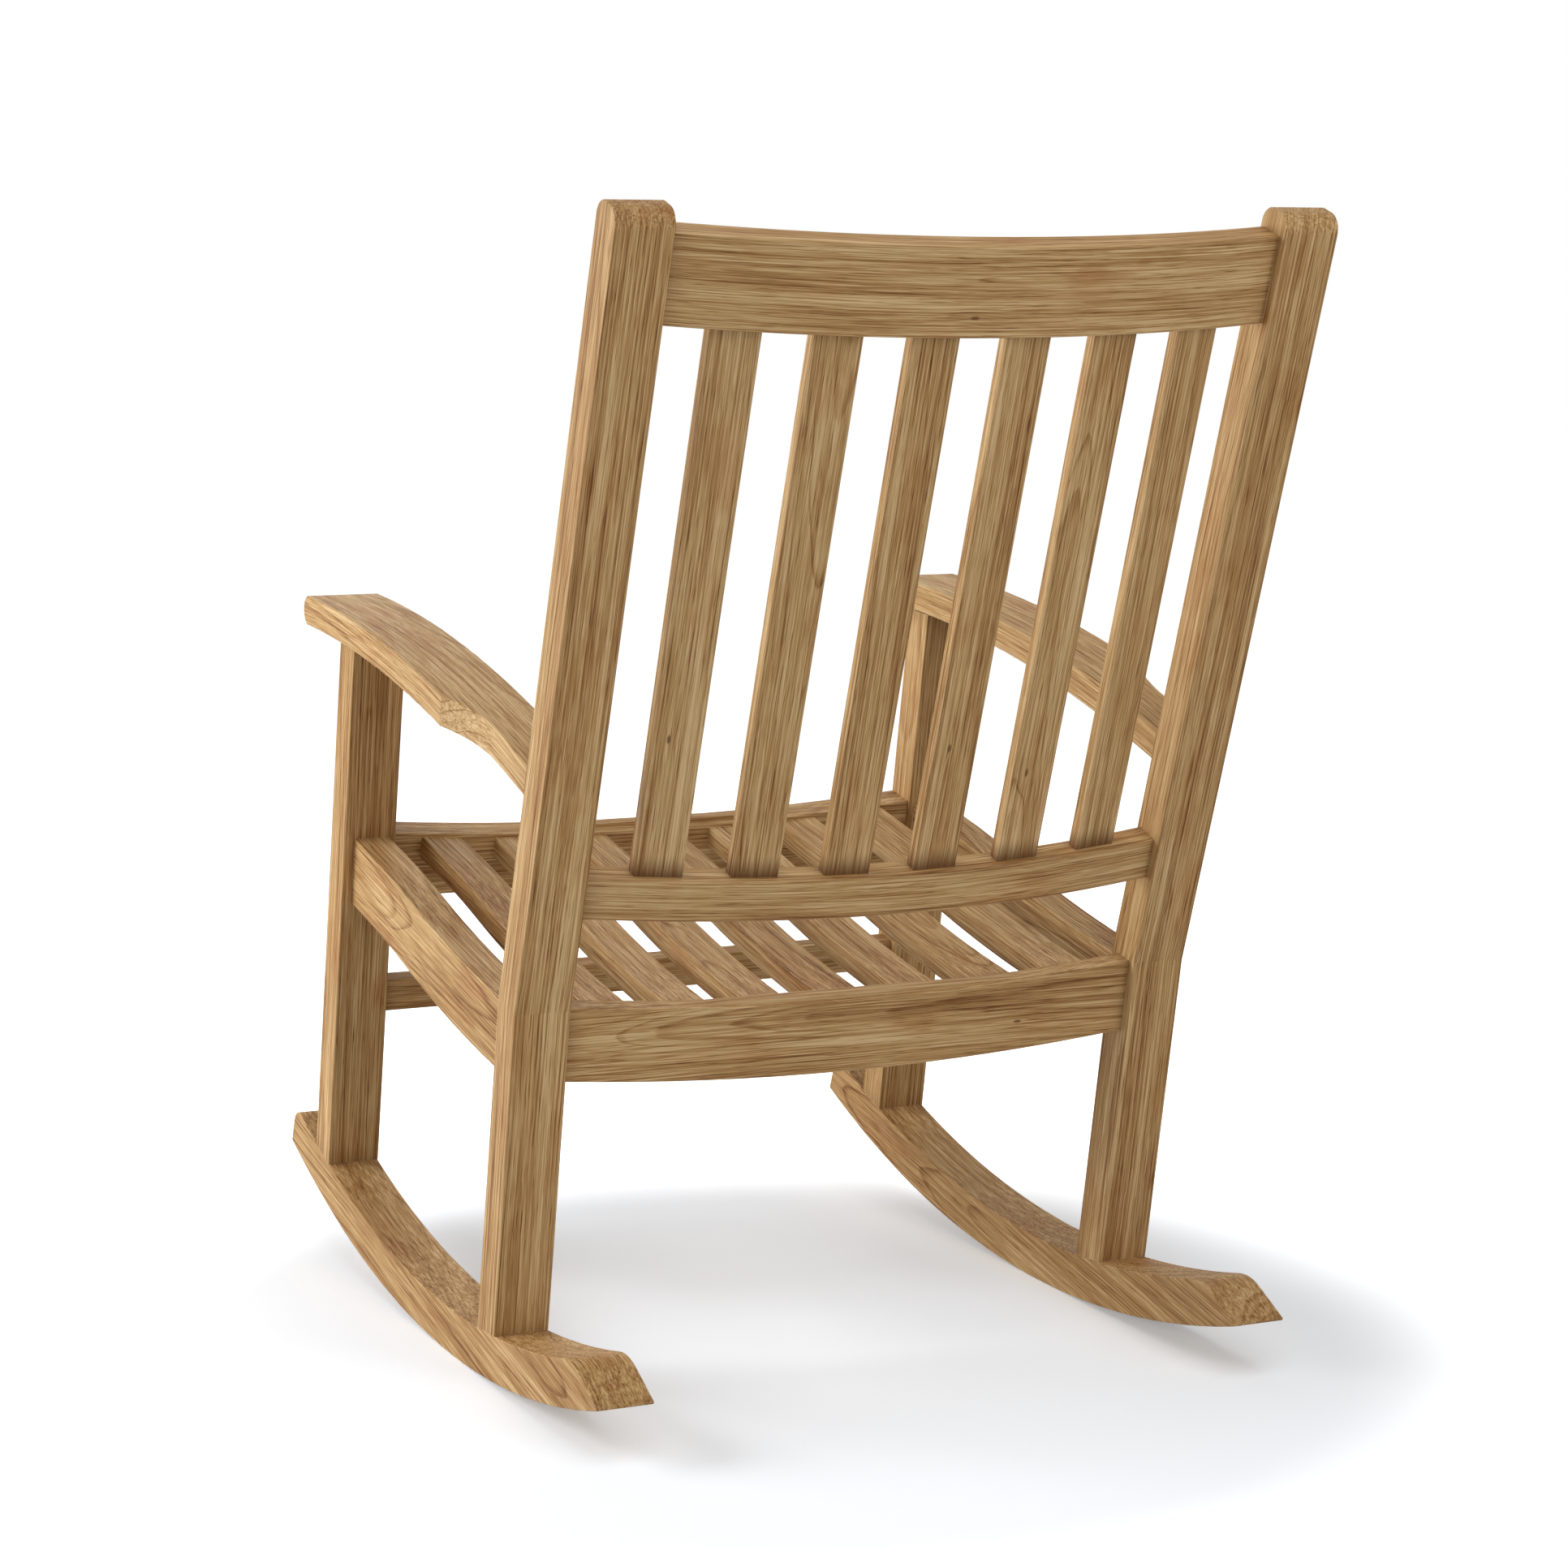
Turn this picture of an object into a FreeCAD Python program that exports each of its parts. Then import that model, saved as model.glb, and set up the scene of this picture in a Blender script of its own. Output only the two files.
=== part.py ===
import FreeCAD, Part
# A slatted wooden rocking armchair, in millimetres.
#
# The chair is drawn square: legs upright, Y backwards from the front faces of the
# front legs, X to the sitter's left, Z up from the lowest point of the rocker arc.
# At rest the chair rolls back on its rockers until its centre of mass is straight under
# the arc's centre, so every piece is placed through the seat frame, which turns the
# square drawing by that recline about the arc's centre.
# The crest rail, lower back rail and back slats are drawn in the back frame, which
# leans with the upper part of the posts: X across, Y through the back, Z up it.
import math
import os
import re

import Sketcher

SIZES = {
    # frame
    "frame_width": 640,          # over the outer faces of the legs
    "frame_depth": 500,          # front of the front legs to back of the rear posts
    "post_width": 50,
    "post_depth": 40,
    "recline": 0,                # degrees that the chair leans back at rest, set by settle
    "centre_shift": 0,           # moves the chair along Y, set by centre_on_origin
    # rockers
    "rocker_radius": 1260,       # lower edge
    "rocker_height": 41,
    "rocker_centre": 161.2,      # lowest point behind the front faces of the legs
    "rocker_front": 77,          # nose in front of the front legs
    "rocker_rear": 235,          # tail behind the rear posts
    "rocker_nose_round": 18,
    "rocker_tail_cut": 62,       # length of the slanted cut on the tail
    "rocker_tail_round": 50,
    "rocker_tip_round": 1.5,       # lower corners of the nose and tail
    # rear posts
    "bend_height": 384.5,
    "back_angle": 8.31,          # degrees that the upper posts lean back
    "back_length": 700,          # post above its bend
    "post_top_round": 15,
    # seat rails
    "seat_rail_top": 381.5,      # front rail, at its ends
    "seat_rail_height": 65,
    "front_rail_thick": 34,
    "front_rail_setback": 2,     # behind the front faces of the legs
    "rear_rail_top": 383.2,      # at its ends
    "rear_rail_height": 67.4,
    "rear_rail_thick": 20,
    "rear_rail_setback": 9,      # in front of the rear faces of the posts
    "front_scoop_radius": 2930,
    "rear_scoop_radius": 2430,
    "side_rail_top": 379,
    "side_rail_height": 64,
    "side_rail_thick": 34,
    "side_rail_setback": 10,     # inside the outer faces of the legs
    # dish of the side rails and seat slats, front to back
    "dish_low": 325,             # lowest point behind the front faces of the legs
    "dish_depth": 7.5,
    "dish_radius": 1900,         # hollow
    "dish_brow": 1400,           # brow between the flat front and the hollow
    # seat slats
    "seat_slat_count": 7,
    "seat_slat_width": 40,
    "seat_slat_pitch": 74,
    "seat_slat_thick": 20,
    "seat_slat_drop": 3.5,       # below the scooped top of the front rail
    "seat_radius": 2930,         # dish of the seat from side to side
    # front stretcher
    "stretcher_top": 229.5,
    "stretcher_height": 31.5,
    "stretcher_thick": 20,
    # back
    "back_rail_thick": 26,
    "back_rail_setback": 9,      # in front of the rear faces of the posts
    "back_radius": 1150,         # bow of the back in plan
    "lower_rail_top": 124,       # above the bend of the posts
    "lower_rail_height": 38,
    "crest_bottom": 605.4,
    "crest_height": 75.9,
    "back_slat_count": 6,
    "back_slat_width": 41,       # across the chair
    "back_slat_pitch": 82.5,
    "back_slat_thick": 12.8,
    "back_slat_forward": 1.5,    # in front of the middle of the rails
    # arms
    "arm_top": 613.4,            # at the crown of the arch
    "arm_thick": 27,
    "arm_radius": 2070,          # underside of the arch
    "arm_width": 70,
    "arm_nose": 44,              # arch in front of the front legs
    "arm_nose_radius": 14.5,
    "arm_waist_start": 334,      # where the outer edge begins to draw in
    "arm_waist_end": 420,        # where it reaches the outer face of the post
    # joints
    "tenon_length": 25,
    "tenon_thick": 12,
    "tenon_height": 24,
    "high_tenon_drop": 20,       # middle of a cross rail's tenon below the rails' tops
    "low_tenon_rise": 16,        # middle of a side rail's tenon above the rails' bottoms
    "slat_tenon_length": 12,
    "slat_tenon_width": 28,
    "seat_tenon_thick": 10,
    "back_tenon_thick": 8,
    "fit": 0.2,                  # clearance round a tenon or dowel
    "end_gap": 1,                # clearance past the end of a tenon or dowel
    "glue_gap": 0.2,             # under a flat end that stands on a curved face
    "dowel_size": 10,
    "dowel_spacing": 18,
    "dowel_reach": 24,           # into each piece
    "arm_dowel_reach": 13,       # into the arm, from below
    "arm_end_dowel_size": 8,
    "arm_end_dowel_reach": 18,
    # edges
    "edge_round": 1,
    "cross_rail_bevel": 0.9,     # long edges of the rails from side to side
    "arm_edge_round": 1.2,
    "slat_edge_round": 1,
}
SIDES = {"left": 1, "right": -1}
HEADROOM = "10"                  # how far a cut starts clear of the piece it enters
SAME = 1e-6                      # two lengths closer than this are equal
NEAR = 0.1                       # an edge this close to a point is the one meant
CLEAR = 1                        # keeps a test for edges off the edges beside it
PLANES = {"side": "YZ_Plane", "front": "XZ_Plane", "plan": "XY_Plane"}

doc = FreeCAD.newDocument("rocking_chair")
sheet = doc.addObject("Spreadsheet::Sheet", "Sizes")
pieces = []


# ---------------------------------------------------------------- sizes and expressions

def fill_sheet():
    """Writes every driving size into the sheet, one row each, under its alias."""
    for row, (name, value) in enumerate(SIZES.items(), start=1):
        sheet.set(f"A{row}", name)
        sheet.set(f"B{row}", str(value))
        sheet.setAlias(f"B{row}", name)
    doc.recompute()


def bound(text):
    """The expression with each size's name pointed at its cell."""
    def point(word):
        return f"Sizes.{word[0]}" if word[0] in SIZES else word[0]
    return re.sub(r"[a-z][a-z_]*", point, text)


def number(text):
    """The value of an expression."""
    return float(sheet.evalExpression(text))


def rocker_top(y):
    """Height of the rocker's upper edge at a depth."""
    return f"(rocker_radius - sqrt((rocker_radius - rocker_height)^2 - (({y}) - rocker_centre)^2))"


def rocker_bottom(y):
    """Height of the rocker's lower edge at a depth."""
    return f"(rocker_radius - sqrt(rocker_radius^2 - (({y}) - rocker_centre)^2))"


def arm_underside(y):
    """Height of the arm's underside at a depth."""
    return f"(arm_top - arm_thick - arm_radius + sqrt(arm_radius^2 - (({y}) - frame_depth / 2)^2))"


def post_front(z):
    """Depth of the front face of the upper, leaning part of the posts at a height."""
    return f"(frame_depth - post_depth + (({z}) - {BEND_FRONT}) * tan(back_angle))"


INNER = "(frame_width / 2 - post_width)"
OUTER = "(frame_width / 2)"
POST_FACE = "(frame_depth - post_depth)"
BEND_FRONT = "(bend_height + post_depth / 2 * tan(back_angle / 2))"
BEND_REAR = "(bend_height - post_depth / 2 * tan(back_angle / 2))"
LEG_MIDDLE = "(post_depth / 2)"
POST_MIDDLE = "(frame_depth - post_depth / 2)"
FRONT_RAIL_BACK = "(front_rail_setback + front_rail_thick)"
REAR_RAIL_FRONT = "(frame_depth - rear_rail_setback - rear_rail_thick)"
SIDE_RAIL_OUT = "(frame_width / 2 - side_rail_setback)"
SIDE_RAIL_IN = f"({SIDE_RAIL_OUT} - side_rail_thick)"
BACK_RAIL_REAR = "(post_depth - back_rail_setback)"
BACK_RAIL_FRONT = f"({BACK_RAIL_REAR} - back_rail_thick)"
BACK_RAIL_MIDDLE = f"({BACK_RAIL_REAR} - back_rail_thick / 2)"
BACK_RAIL_TENONS = [
    ("(lower_rail_top - lower_rail_height / 2)", "tenon_height"),
    ("(crest_bottom + crest_height / 2)", "2 * tenon_height"),
]
HIGH_TENON = "(seat_rail_top - high_tenon_drop)"
LOW_TENON = "(seat_rail_top - seat_rail_height + low_tenon_rise)"
ARM_OUT = f"({INNER} + arm_width)"
ARM_END_HEIGHT = f"({arm_underside(POST_MIDDLE)} + arm_thick / 2)"

SEAT_FRAME = (
    "placement(vector(0;"
    " centre_shift - rocker_centre * cos(recline) - rocker_radius * sin(recline);"
    " rocker_radius + rocker_centre * sin(recline) - rocker_radius * cos(recline));"
    " rotation(vector(1; 0; 0); -recline))")
BACK_FRAME = (
    f"{SEAT_FRAME} * placement(vector(0; {POST_FACE}; {BEND_FRONT});"
    " rotation(vector(1; 0; 0); -back_angle))")


# ---------------------------------------------------------------- drawing helpers

def new_body(name, frame):
    """An empty body, labelled as its node and placed by an expression."""
    body = doc.addObject("PartDesign::Body", name)
    body.Label = name
    body.setExpression("Placement", bound(frame))
    pieces.append(body)
    return body


def new_sketch(body, view, offset="0"):
    """A sketch on one of the body's own planes, moved along the plane's normal.

    The side view looks along X and draws (Y, Z); the front view draws (X, Z) and its
    normal is -Y; the plan draws (X, Y).
    """
    plane = next(item for item in body.Origin.OriginFeatures if item.Role == PLANES[view])
    sketch = body.newObject("Sketcher::SketchObject", f"{body.Name}_{view}")
    sketch.AttachmentSupport = (plane, "")
    sketch.MapMode = "FlatFace"
    sketch.setExpression("AttachmentOffset.Base.z", bound(offset))
    return sketch


def arc_between(start, end, radius, turn):
    """The shorter arc from start to end, with its centre on its left or its right."""
    chord = end - start
    reach = math.sqrt(radius ** 2 - (chord.Length / 2) ** 2)
    leftwards = FreeCAD.Vector(-chord.y, chord.x, 0).normalize()
    centre = (start + end) / 2 + leftwards * (reach if turn == "left" else -reach)
    circle = Part.Circle(centre, FreeCAD.Vector(0, 0, 1), radius)
    angles = [math.atan2(point.y - centre.y, point.x - centre.x) for point in (start, end)]
    if turn == "right":
        angles.reverse()
    return Part.ArcOfCircle(circle, *angles)


def draw_outline(sketch, corners):
    """Adds one closed loop, every size bound to the sheet.

    A corner is (across, up), and a straight edge leaves it; or (across, up, turn,
    radius), and an arc of that radius leaves it, with its centre on that side.
    """
    first = sketch.GeometryCount
    points = [FreeCAD.Vector(number(corner[0]), number(corner[1]), 0) for corner in corners]
    ends = []
    for here, there, corner in zip(points, points[1:] + points[:1], corners):
        if len(corner) == 2:
            sketch.addGeometry(Part.LineSegment(here, there))
            ends.append((1, 2))
        else:
            turn, radius = corner[2:]
            sketch.addGeometry(arc_between(here, there, number(radius), turn))
            ends.append((1, 2) if turn == "left" else (2, 1))
    for index, corner in enumerate(corners):
        after = (index + 1) % len(corners)
        edge = first + index
        joint = (edge, ends[index][1], first + after, ends[after][0])
        sketch.addConstraint(Sketcher.Constraint("Coincident", *joint))
        for kind, value in (("DistanceX", corner[0]), ("DistanceY", corner[1])):
            place = Sketcher.Constraint(kind, -1, 1, edge, ends[index][0], number(value))
            sketch.setExpression(f"Constraints[{sketch.addConstraint(place)}]", bound(value))
        if len(corner) == 4:
            bend = Sketcher.Constraint("Radius", edge, number(corner[3]))
            sketch.setExpression(f"Constraints[{sketch.addConstraint(bend)}]", bound(corner[3]))


def draw_circle(sketch, across, up, diameter):
    """Adds one circle, its place and size bound to the sheet."""
    centre = FreeCAD.Vector(number(across), number(up), 0)
    edge = sketch.addGeometry(Part.Circle(centre, FreeCAD.Vector(0, 0, 1), number(diameter) / 2))
    for kind, value in (("DistanceX", across), ("DistanceY", up)):
        place = Sketcher.Constraint(kind, -1, 1, edge, 3, number(value))
        sketch.setExpression(f"Constraints[{sketch.addConstraint(place)}]", bound(value))
    size = Sketcher.Constraint("Diameter", edge, number(diameter))
    sketch.setExpression(f"Constraints[{sketch.addConstraint(size)}]", bound(diameter))


def rectangle(across, up, width, height, sine="0", cosine="1"):
    """Corners of a rectangle about its middle, turned anticlockwise."""
    corners = []
    for right, top in ((-1, -1), (1, -1), (1, 1), (-1, 1)):
        x = f"{right} * ({width}) / 2"
        y = f"{top} * ({height}) / 2"
        corners.append((
            f"{across} + ({x}) * ({cosine}) - ({y}) * ({sine})",
            f"{up} + ({x}) * ({sine}) + ({y}) * ({cosine})"))
    return corners


def add_pad(body, sketch, length):
    """Pads a sketch along its plane's normal."""
    pad = body.newObject("PartDesign::Pad", f"{body.Name}_pad")
    pad.Profile = sketch
    pad.setExpression("Length", bound(length))
    doc.recompute()
    return pad


def cut_pocket(body, sketch, depth, along_normal=False):
    """Cuts a sketch into the body, against its plane's normal unless told otherwise."""
    before = body.Shape.Volume
    pocket = body.newObject("PartDesign::Pocket", f"{body.Name}_pocket")
    pocket.Profile = sketch
    pocket.Reversed = along_normal
    pocket.setExpression("Length", bound(depth))
    doc.recompute()
    if body.Shape.Volume > before - CLEAR:
        raise RuntimeError(f"a pocket in {body.Label} cuts nothing")
    return pocket


def ease_edges(body, kind, measure, size, chosen):
    """Eases the edges of the body's last feature that a test picks out."""
    base = body.Tip
    names = [f"Edge{index}" for index, edge in enumerate(base.Shape.Edges, start=1) if chosen(edge)]
    easing = body.newObject(f"PartDesign::{kind}", f"{body.Name}_easing")
    easing.Base = (base, names)
    easing.setExpression(measure, bound(size))
    doc.recompute()


def round_edges(body, radius, chosen):
    """Rounds the chosen edges."""
    ease_edges(body, "Fillet", "Radius", radius, chosen)


def bevel_edges(body, size, chosen):
    """Bevels the chosen edges."""
    ease_edges(body, "Chamfer", "Size", size, chosen)


def runs_along(axis, shortest=0.0):
    """A test for straight edges along an axis and longer than a length."""
    def chosen(edge):
        span = edge.Vertexes[-1].Point - edge.Vertexes[0].Point
        return edge.Length > shortest and abs(abs(span.dot(axis)) - edge.Length) < SAME
    return chosen


def lies_across(axis):
    """A test for edges that lie in a plane square to an axis."""
    def chosen(edge):
        box = edge.BoundBox
        return abs(axis.dot(FreeCAD.Vector(box.XLength, box.YLength, box.ZLength))) < SAME
    return chosen


X_AXIS = FreeCAD.Vector(1, 0, 0)
Z_AXIS = FreeCAD.Vector(0, 0, 1)


def follows_side_outline(edge):
    """Whether an edge runs along a bar's top or bottom, seen from the side."""
    return lies_across(X_AXIS)(edge) and not runs_along(Z_AXIS)(edge)


def between(side, inner, outer):
    """Where a pad towards +X starts, for a piece on one side of the chair."""
    return inner if side > 0 else f"-({outer})"


def dished_outline(front, rear, top, height):
    """Side outline of a bar that follows the seat's dish: flat, over a brow, then hollow."""
    reach = "(dish_radius + dish_brow)"
    brow = f"(dish_low - sqrt({reach}^2 - ({reach} - dish_depth)^2))"
    low = f"({height})"

    def join(drop):
        share = f"((dish_brow - {drop}) / {reach})"
        y = f"{brow} + (dish_low - {brow}) * {share}"
        z = f"{top} - dish_brow + ({reach} - dish_depth) * {share}"
        return y, z

    def end(drop):
        fall = f"sqrt((dish_radius + {drop})^2 - (({rear}) - dish_low)^2)"
        return f"{top} - dish_depth + dish_radius - {fall}"

    return [
        (front, f"{top} - {low}"),
        (brow, f"{top} - {low}", "right", f"dish_brow - {low}"),
        (*join(low), "left", f"dish_radius + {low}"),
        (rear, end(low)),
        (rear, end("0"), "right", "dish_radius"),
        (*join("0"), "left", "dish_brow"),
        (brow, top),
        (front, top),
    ]


def scooped_outline(half, top, height, radius, bottom_radius=None):
    """Front outline of a rail whose top edge, and perhaps its lower edge, dips to the middle."""
    lower_left = (f"-({half})", f"{top} - {height}")
    if bottom_radius:
        lower_left = (*lower_left, "left", bottom_radius)
    return [
        lower_left,
        (half, f"{top} - {height}"),
        (half, top, "right", radius),
        (f"-({half})", top),
    ]


def dowel_rows(middle):
    """Depths of the two dowels in the end of a leg or post."""
    return [f"({middle} - dowel_spacing / 2)", f"({middle} + dowel_spacing / 2)"]


def drill_down(body, side, rows, mouth, depth, diameter="dowel_size", upwards=False):
    """Drills a row of holes on the middle line of one side's legs, from a mouth's height."""
    start = f"{mouth} - {HEADROOM}" if upwards else f"{mouth} + {HEADROOM}"
    sketch = new_sketch(body, "plan", start)
    for row in rows:
        draw_circle(sketch, f"{side} * ({OUTER} - post_width / 2)", row, f"{diameter} + 2 * fit")
    cut_pocket(body, sketch, f"{HEADROOM} + {depth} + end_gap", along_normal=upwards)


def mortise_in_side(body, side, corners):
    """Sinks a mortise for a cross rail into the inner face of a leg or post."""
    sketch = new_sketch(body, "side", f"{side} * {INNER}")
    draw_outline(sketch, corners)
    cut_pocket(body, sketch, "tenon_length + end_gap", along_normal=side > 0)


# ---------------------------------------------------------------- rockers, legs and posts

def make_rocker(name, side):
    """A sawn rocker: concentric arcs, a square nose and a slanted tail, both rounded on top."""
    body = new_body(name, SEAT_FRAME)
    nose = "(-rocker_front)"
    tail = "(frame_depth + rocker_rear)"
    shoulder = f"({tail} - rocker_tail_cut)"
    nose_low = rocker_bottom(nose)
    nose_top_y = f"{nose} + rocker_height * (rocker_centre - {nose}) / rocker_radius"
    nose_top_z = f"{nose_low} + rocker_height * (rocker_radius - {nose_low}) / rocker_radius"
    sketch = new_sketch(body, "side", between(side, INNER, OUTER))
    draw_outline(sketch, [
        (nose, nose_low, "left", "rocker_radius"),
        (tail, rocker_bottom(tail)),
        (shoulder, rocker_top(shoulder), "right", "rocker_radius - rocker_height"),
        (nose_top_y, nose_top_z),
    ])
    add_pad(body, sketch, "post_width")
    corners = [
        ("rocker_nose_round", nose_top_y, nose_top_z),
        ("rocker_tail_round", shoulder, rocker_top(shoulder)),
        ("rocker_tip_round", nose, nose_low),
        ("rocker_tip_round", tail, rocker_bottom(tail)),
    ]
    for radius, *place in corners:
        y, z = map(number, place)
        round_edges(body, radius, lambda edge: math.hypot(
            edge.CenterOfMass.y - y, edge.CenterOfMass.z - z) < NEAR)
    round_edges(body, "edge_round", lies_across(X_AXIS))
    for middle in (LEG_MIDDLE, POST_MIDDLE):
        drill_down(body, side, dowel_rows(middle), rocker_top(middle), "dowel_reach")


def make_front_leg(name, side):
    """A plain leg from rocker to arm, mortised for two seat rails and the stretcher."""
    body = new_body(name, SEAT_FRAME)
    sketch = new_sketch(body, "side", between(side, INNER, OUTER))
    draw_outline(sketch, [
        ("0", f"{rocker_top('0')} + glue_gap"),
        ("post_depth", f"{rocker_top('post_depth')} + glue_gap"),
        ("post_depth", f"{arm_underside('post_depth')} - glue_gap"),
        ("0", f"{arm_underside('0')} - glue_gap"),
    ])
    add_pad(body, sketch, "post_width")
    round_edges(body, "edge_round", runs_along(Z_AXIS, number("post_width")))
    rail_middle = "(front_rail_setback + front_rail_thick / 2)"
    stretcher_middle = "(stretcher_top - stretcher_height / 2)"
    mortise_in_side(body, side, mortise(rail_middle, HIGH_TENON, "tenon_thick", "tenon_height"))
    mortise_in_side(body, side, mortise(LEG_MIDDLE, stretcher_middle, "tenon_thick", "tenon_height"))
    sink_side_rail_mortise(body, side, "post_depth", forwards=True)
    holes = dowel_rows(LEG_MIDDLE)
    drill_down(body, side, holes, rocker_top(LEG_MIDDLE), "dowel_reach", upwards=True)
    drill_down(body, side, holes, arm_underside(LEG_MIDDLE), "dowel_reach")


def make_rear_post(name, side):
    """A post bent backwards above the seat, with mortises for a side rail and three cross rails."""
    body = new_body(name, SEAT_FRAME)
    top_y = f"({POST_FACE} + back_length * sin(back_angle))"
    top_z = f"({BEND_FRONT} + back_length * cos(back_angle))"
    top_rear_y = f"({top_y} + post_depth * cos(back_angle))"
    top_rear_z = f"({top_z} - post_depth * sin(back_angle))"
    sketch = new_sketch(body, "side", between(side, INNER, OUTER))
    draw_outline(sketch, [
        (POST_FACE, f"{rocker_top(POST_FACE)} + glue_gap"),
        ("frame_depth", f"{rocker_top('frame_depth')} + glue_gap"),
        ("frame_depth", BEND_REAR),
        (top_rear_y, top_rear_z),
        (top_y, top_z),
        (POST_FACE, BEND_FRONT),
    ])
    add_pad(body, sketch, "post_width")
    near_top = number(top_rear_z) - CLEAR
    round_edges(body, "post_top_round", lambda edge: (
        runs_along(X_AXIS)(edge) and edge.CenterOfMass.z > near_top))
    foot = number(rocker_top("frame_depth")) + CLEAR
    round_edges(body, "edge_round", lambda edge: (
        lies_across(X_AXIS)(edge) and edge.CenterOfMass.z > foot))
    rear_rail_middle = "(frame_depth - rear_rail_setback - rear_rail_thick / 2)"
    mortise_in_side(body, side, mortise(rear_rail_middle, HIGH_TENON, "tenon_thick", "tenon_height"))
    lean = ("-sin(back_angle)", "cos(back_angle)")
    for middle, height in BACK_RAIL_TENONS:
        y = f"({POST_FACE} + {BACK_RAIL_MIDDLE} * cos(back_angle) + {middle} * sin(back_angle))"
        z = f"({BEND_FRONT} - {BACK_RAIL_MIDDLE} * sin(back_angle) + {middle} * cos(back_angle))"
        mortise_in_side(body, side, mortise(y, z, "tenon_thick", height, *lean))
    sink_side_rail_mortise(body, side, POST_FACE, forwards=False)
    holes = dowel_rows(POST_MIDDLE)
    drill_down(body, side, holes, rocker_top(POST_MIDDLE), "dowel_reach", upwards=True)
    drill_arm_end(body, side, forwards=False)


def mortise(across, up, width, height, sine="0", cosine="1"):
    """Corners of a mortise: its tenon's section and the fit all round."""
    return rectangle(across, up, f"{width} + 2 * fit", f"{height} + 2 * fit", sine, cosine)


def sink_side_rail_mortise(body, side, face, forwards):
    """Sinks the mortise of a side seat rail, forwards into a leg or backwards into a post."""
    sketch = new_sketch(body, "front", f"-({face})")
    middle = f"{side} * ({SIDE_RAIL_IN} + side_rail_thick / 2)"
    draw_outline(sketch, mortise(middle, LOW_TENON, "tenon_thick", "tenon_height"))
    cut_pocket(body, sketch, "tenon_length + end_gap", along_normal=forwards)


def arm_end_dowels(side):
    """Where the two dowels of an arm's rear end lie across the post."""
    middle = f"{side} * ({OUTER} - post_width / 2)"
    return [f"({middle} - dowel_spacing / 2)", f"({middle} + dowel_spacing / 2)"]


def drill_arm_end(body, side, forwards):
    """Drills for the dowels between an arm's rear end and its post."""
    face = post_front(ARM_END_HEIGHT)
    mouth = f"({face} + {HEADROOM})" if forwards else f"({face} - {HEADROOM})"
    sketch = new_sketch(body, "front", f"-{mouth}")
    for across in arm_end_dowels(side):
        draw_circle(sketch, across, ARM_END_HEIGHT, "arm_end_dowel_size + 2 * fit")
    cut_pocket(body, sketch, f"{HEADROOM} + arm_end_dowel_reach + end_gap", along_normal=forwards)


# ---------------------------------------------------------------- rails

def make_cross_rail(name, outline, back, thick, tenon_middle):
    """A rail between the two sides, drawn from the front, with a tenon on each end."""
    body = new_body(name, SEAT_FRAME)
    sketch = new_sketch(body, "front", f"-({back})")
    draw_outline(sketch, outline)
    add_pad(body, sketch, thick)
    bevel_edges(body, "cross_rail_bevel", lambda edge: edge.Length > number(INNER))
    tenon = new_sketch(body, "front", f"-({back} - ({thick}) / 2 + tenon_thick / 2)")
    draw_outline(tenon, rectangle("0", tenon_middle, f"2 * ({INNER} + tenon_length)", "tenon_height"))
    add_pad(body, tenon, "tenon_thick")
    return body


def cut_seat_slat_mortises(body, face, height_below_top, forwards):
    """Sinks the mortises of the seat slats into a rail's face."""
    sketch = new_sketch(body, "front", f"-({face})")
    for place in slat_places("seat_slat_count", "seat_slat_pitch"):
        lean = seat_slat_lean(place)
        across = f"{place} + {height_below_top} * sin({lean})"
        up = f"{seat_slat_top(place)} - {height_below_top} * cos({lean})"
        draw_outline(sketch, mortise(
            across, up, "slat_tenon_width", "seat_tenon_thick", f"sin({lean})", f"cos({lean})"))
    cut_pocket(body, sketch, "slat_tenon_length + end_gap", along_normal=forwards)


def make_front_seat_rail():
    """The front rail: straight in plan, its top edge scooped."""
    body = make_cross_rail(
        "front_seat_rail",
        scooped_outline(INNER, "seat_rail_top", "seat_rail_height", "front_scoop_radius"),
        FRONT_RAIL_BACK, "front_rail_thick", HIGH_TENON)
    cut_seat_slat_mortises(body, FRONT_RAIL_BACK, "seat_slat_thick / 2", forwards=True)


def make_rear_seat_rail():
    """The rear rail: straight in plan, both long edges dipping to the middle."""
    body = make_cross_rail(
        "rear_seat_rail",
        scooped_outline(
            INNER, "rear_rail_top", "rear_rail_height", "rear_scoop_radius", "rear_scoop_radius"),
        "frame_depth - rear_rail_setback", "rear_rail_thick", HIGH_TENON)
    drop = f"({SLAT_END_DROP} + seat_slat_thick / 2)"
    cut_seat_slat_mortises(body, REAR_RAIL_FRONT, drop, forwards=False)


def make_front_stretcher():
    """The low stretcher between the front legs."""
    make_cross_rail(
        "front_stretcher",
        rectangle("0", "stretcher_top - stretcher_height / 2", f"2 * {INNER}", "stretcher_height"),
        f"{LEG_MIDDLE} + stretcher_thick / 2", "stretcher_thick",
        "stretcher_top - stretcher_height / 2")


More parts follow.
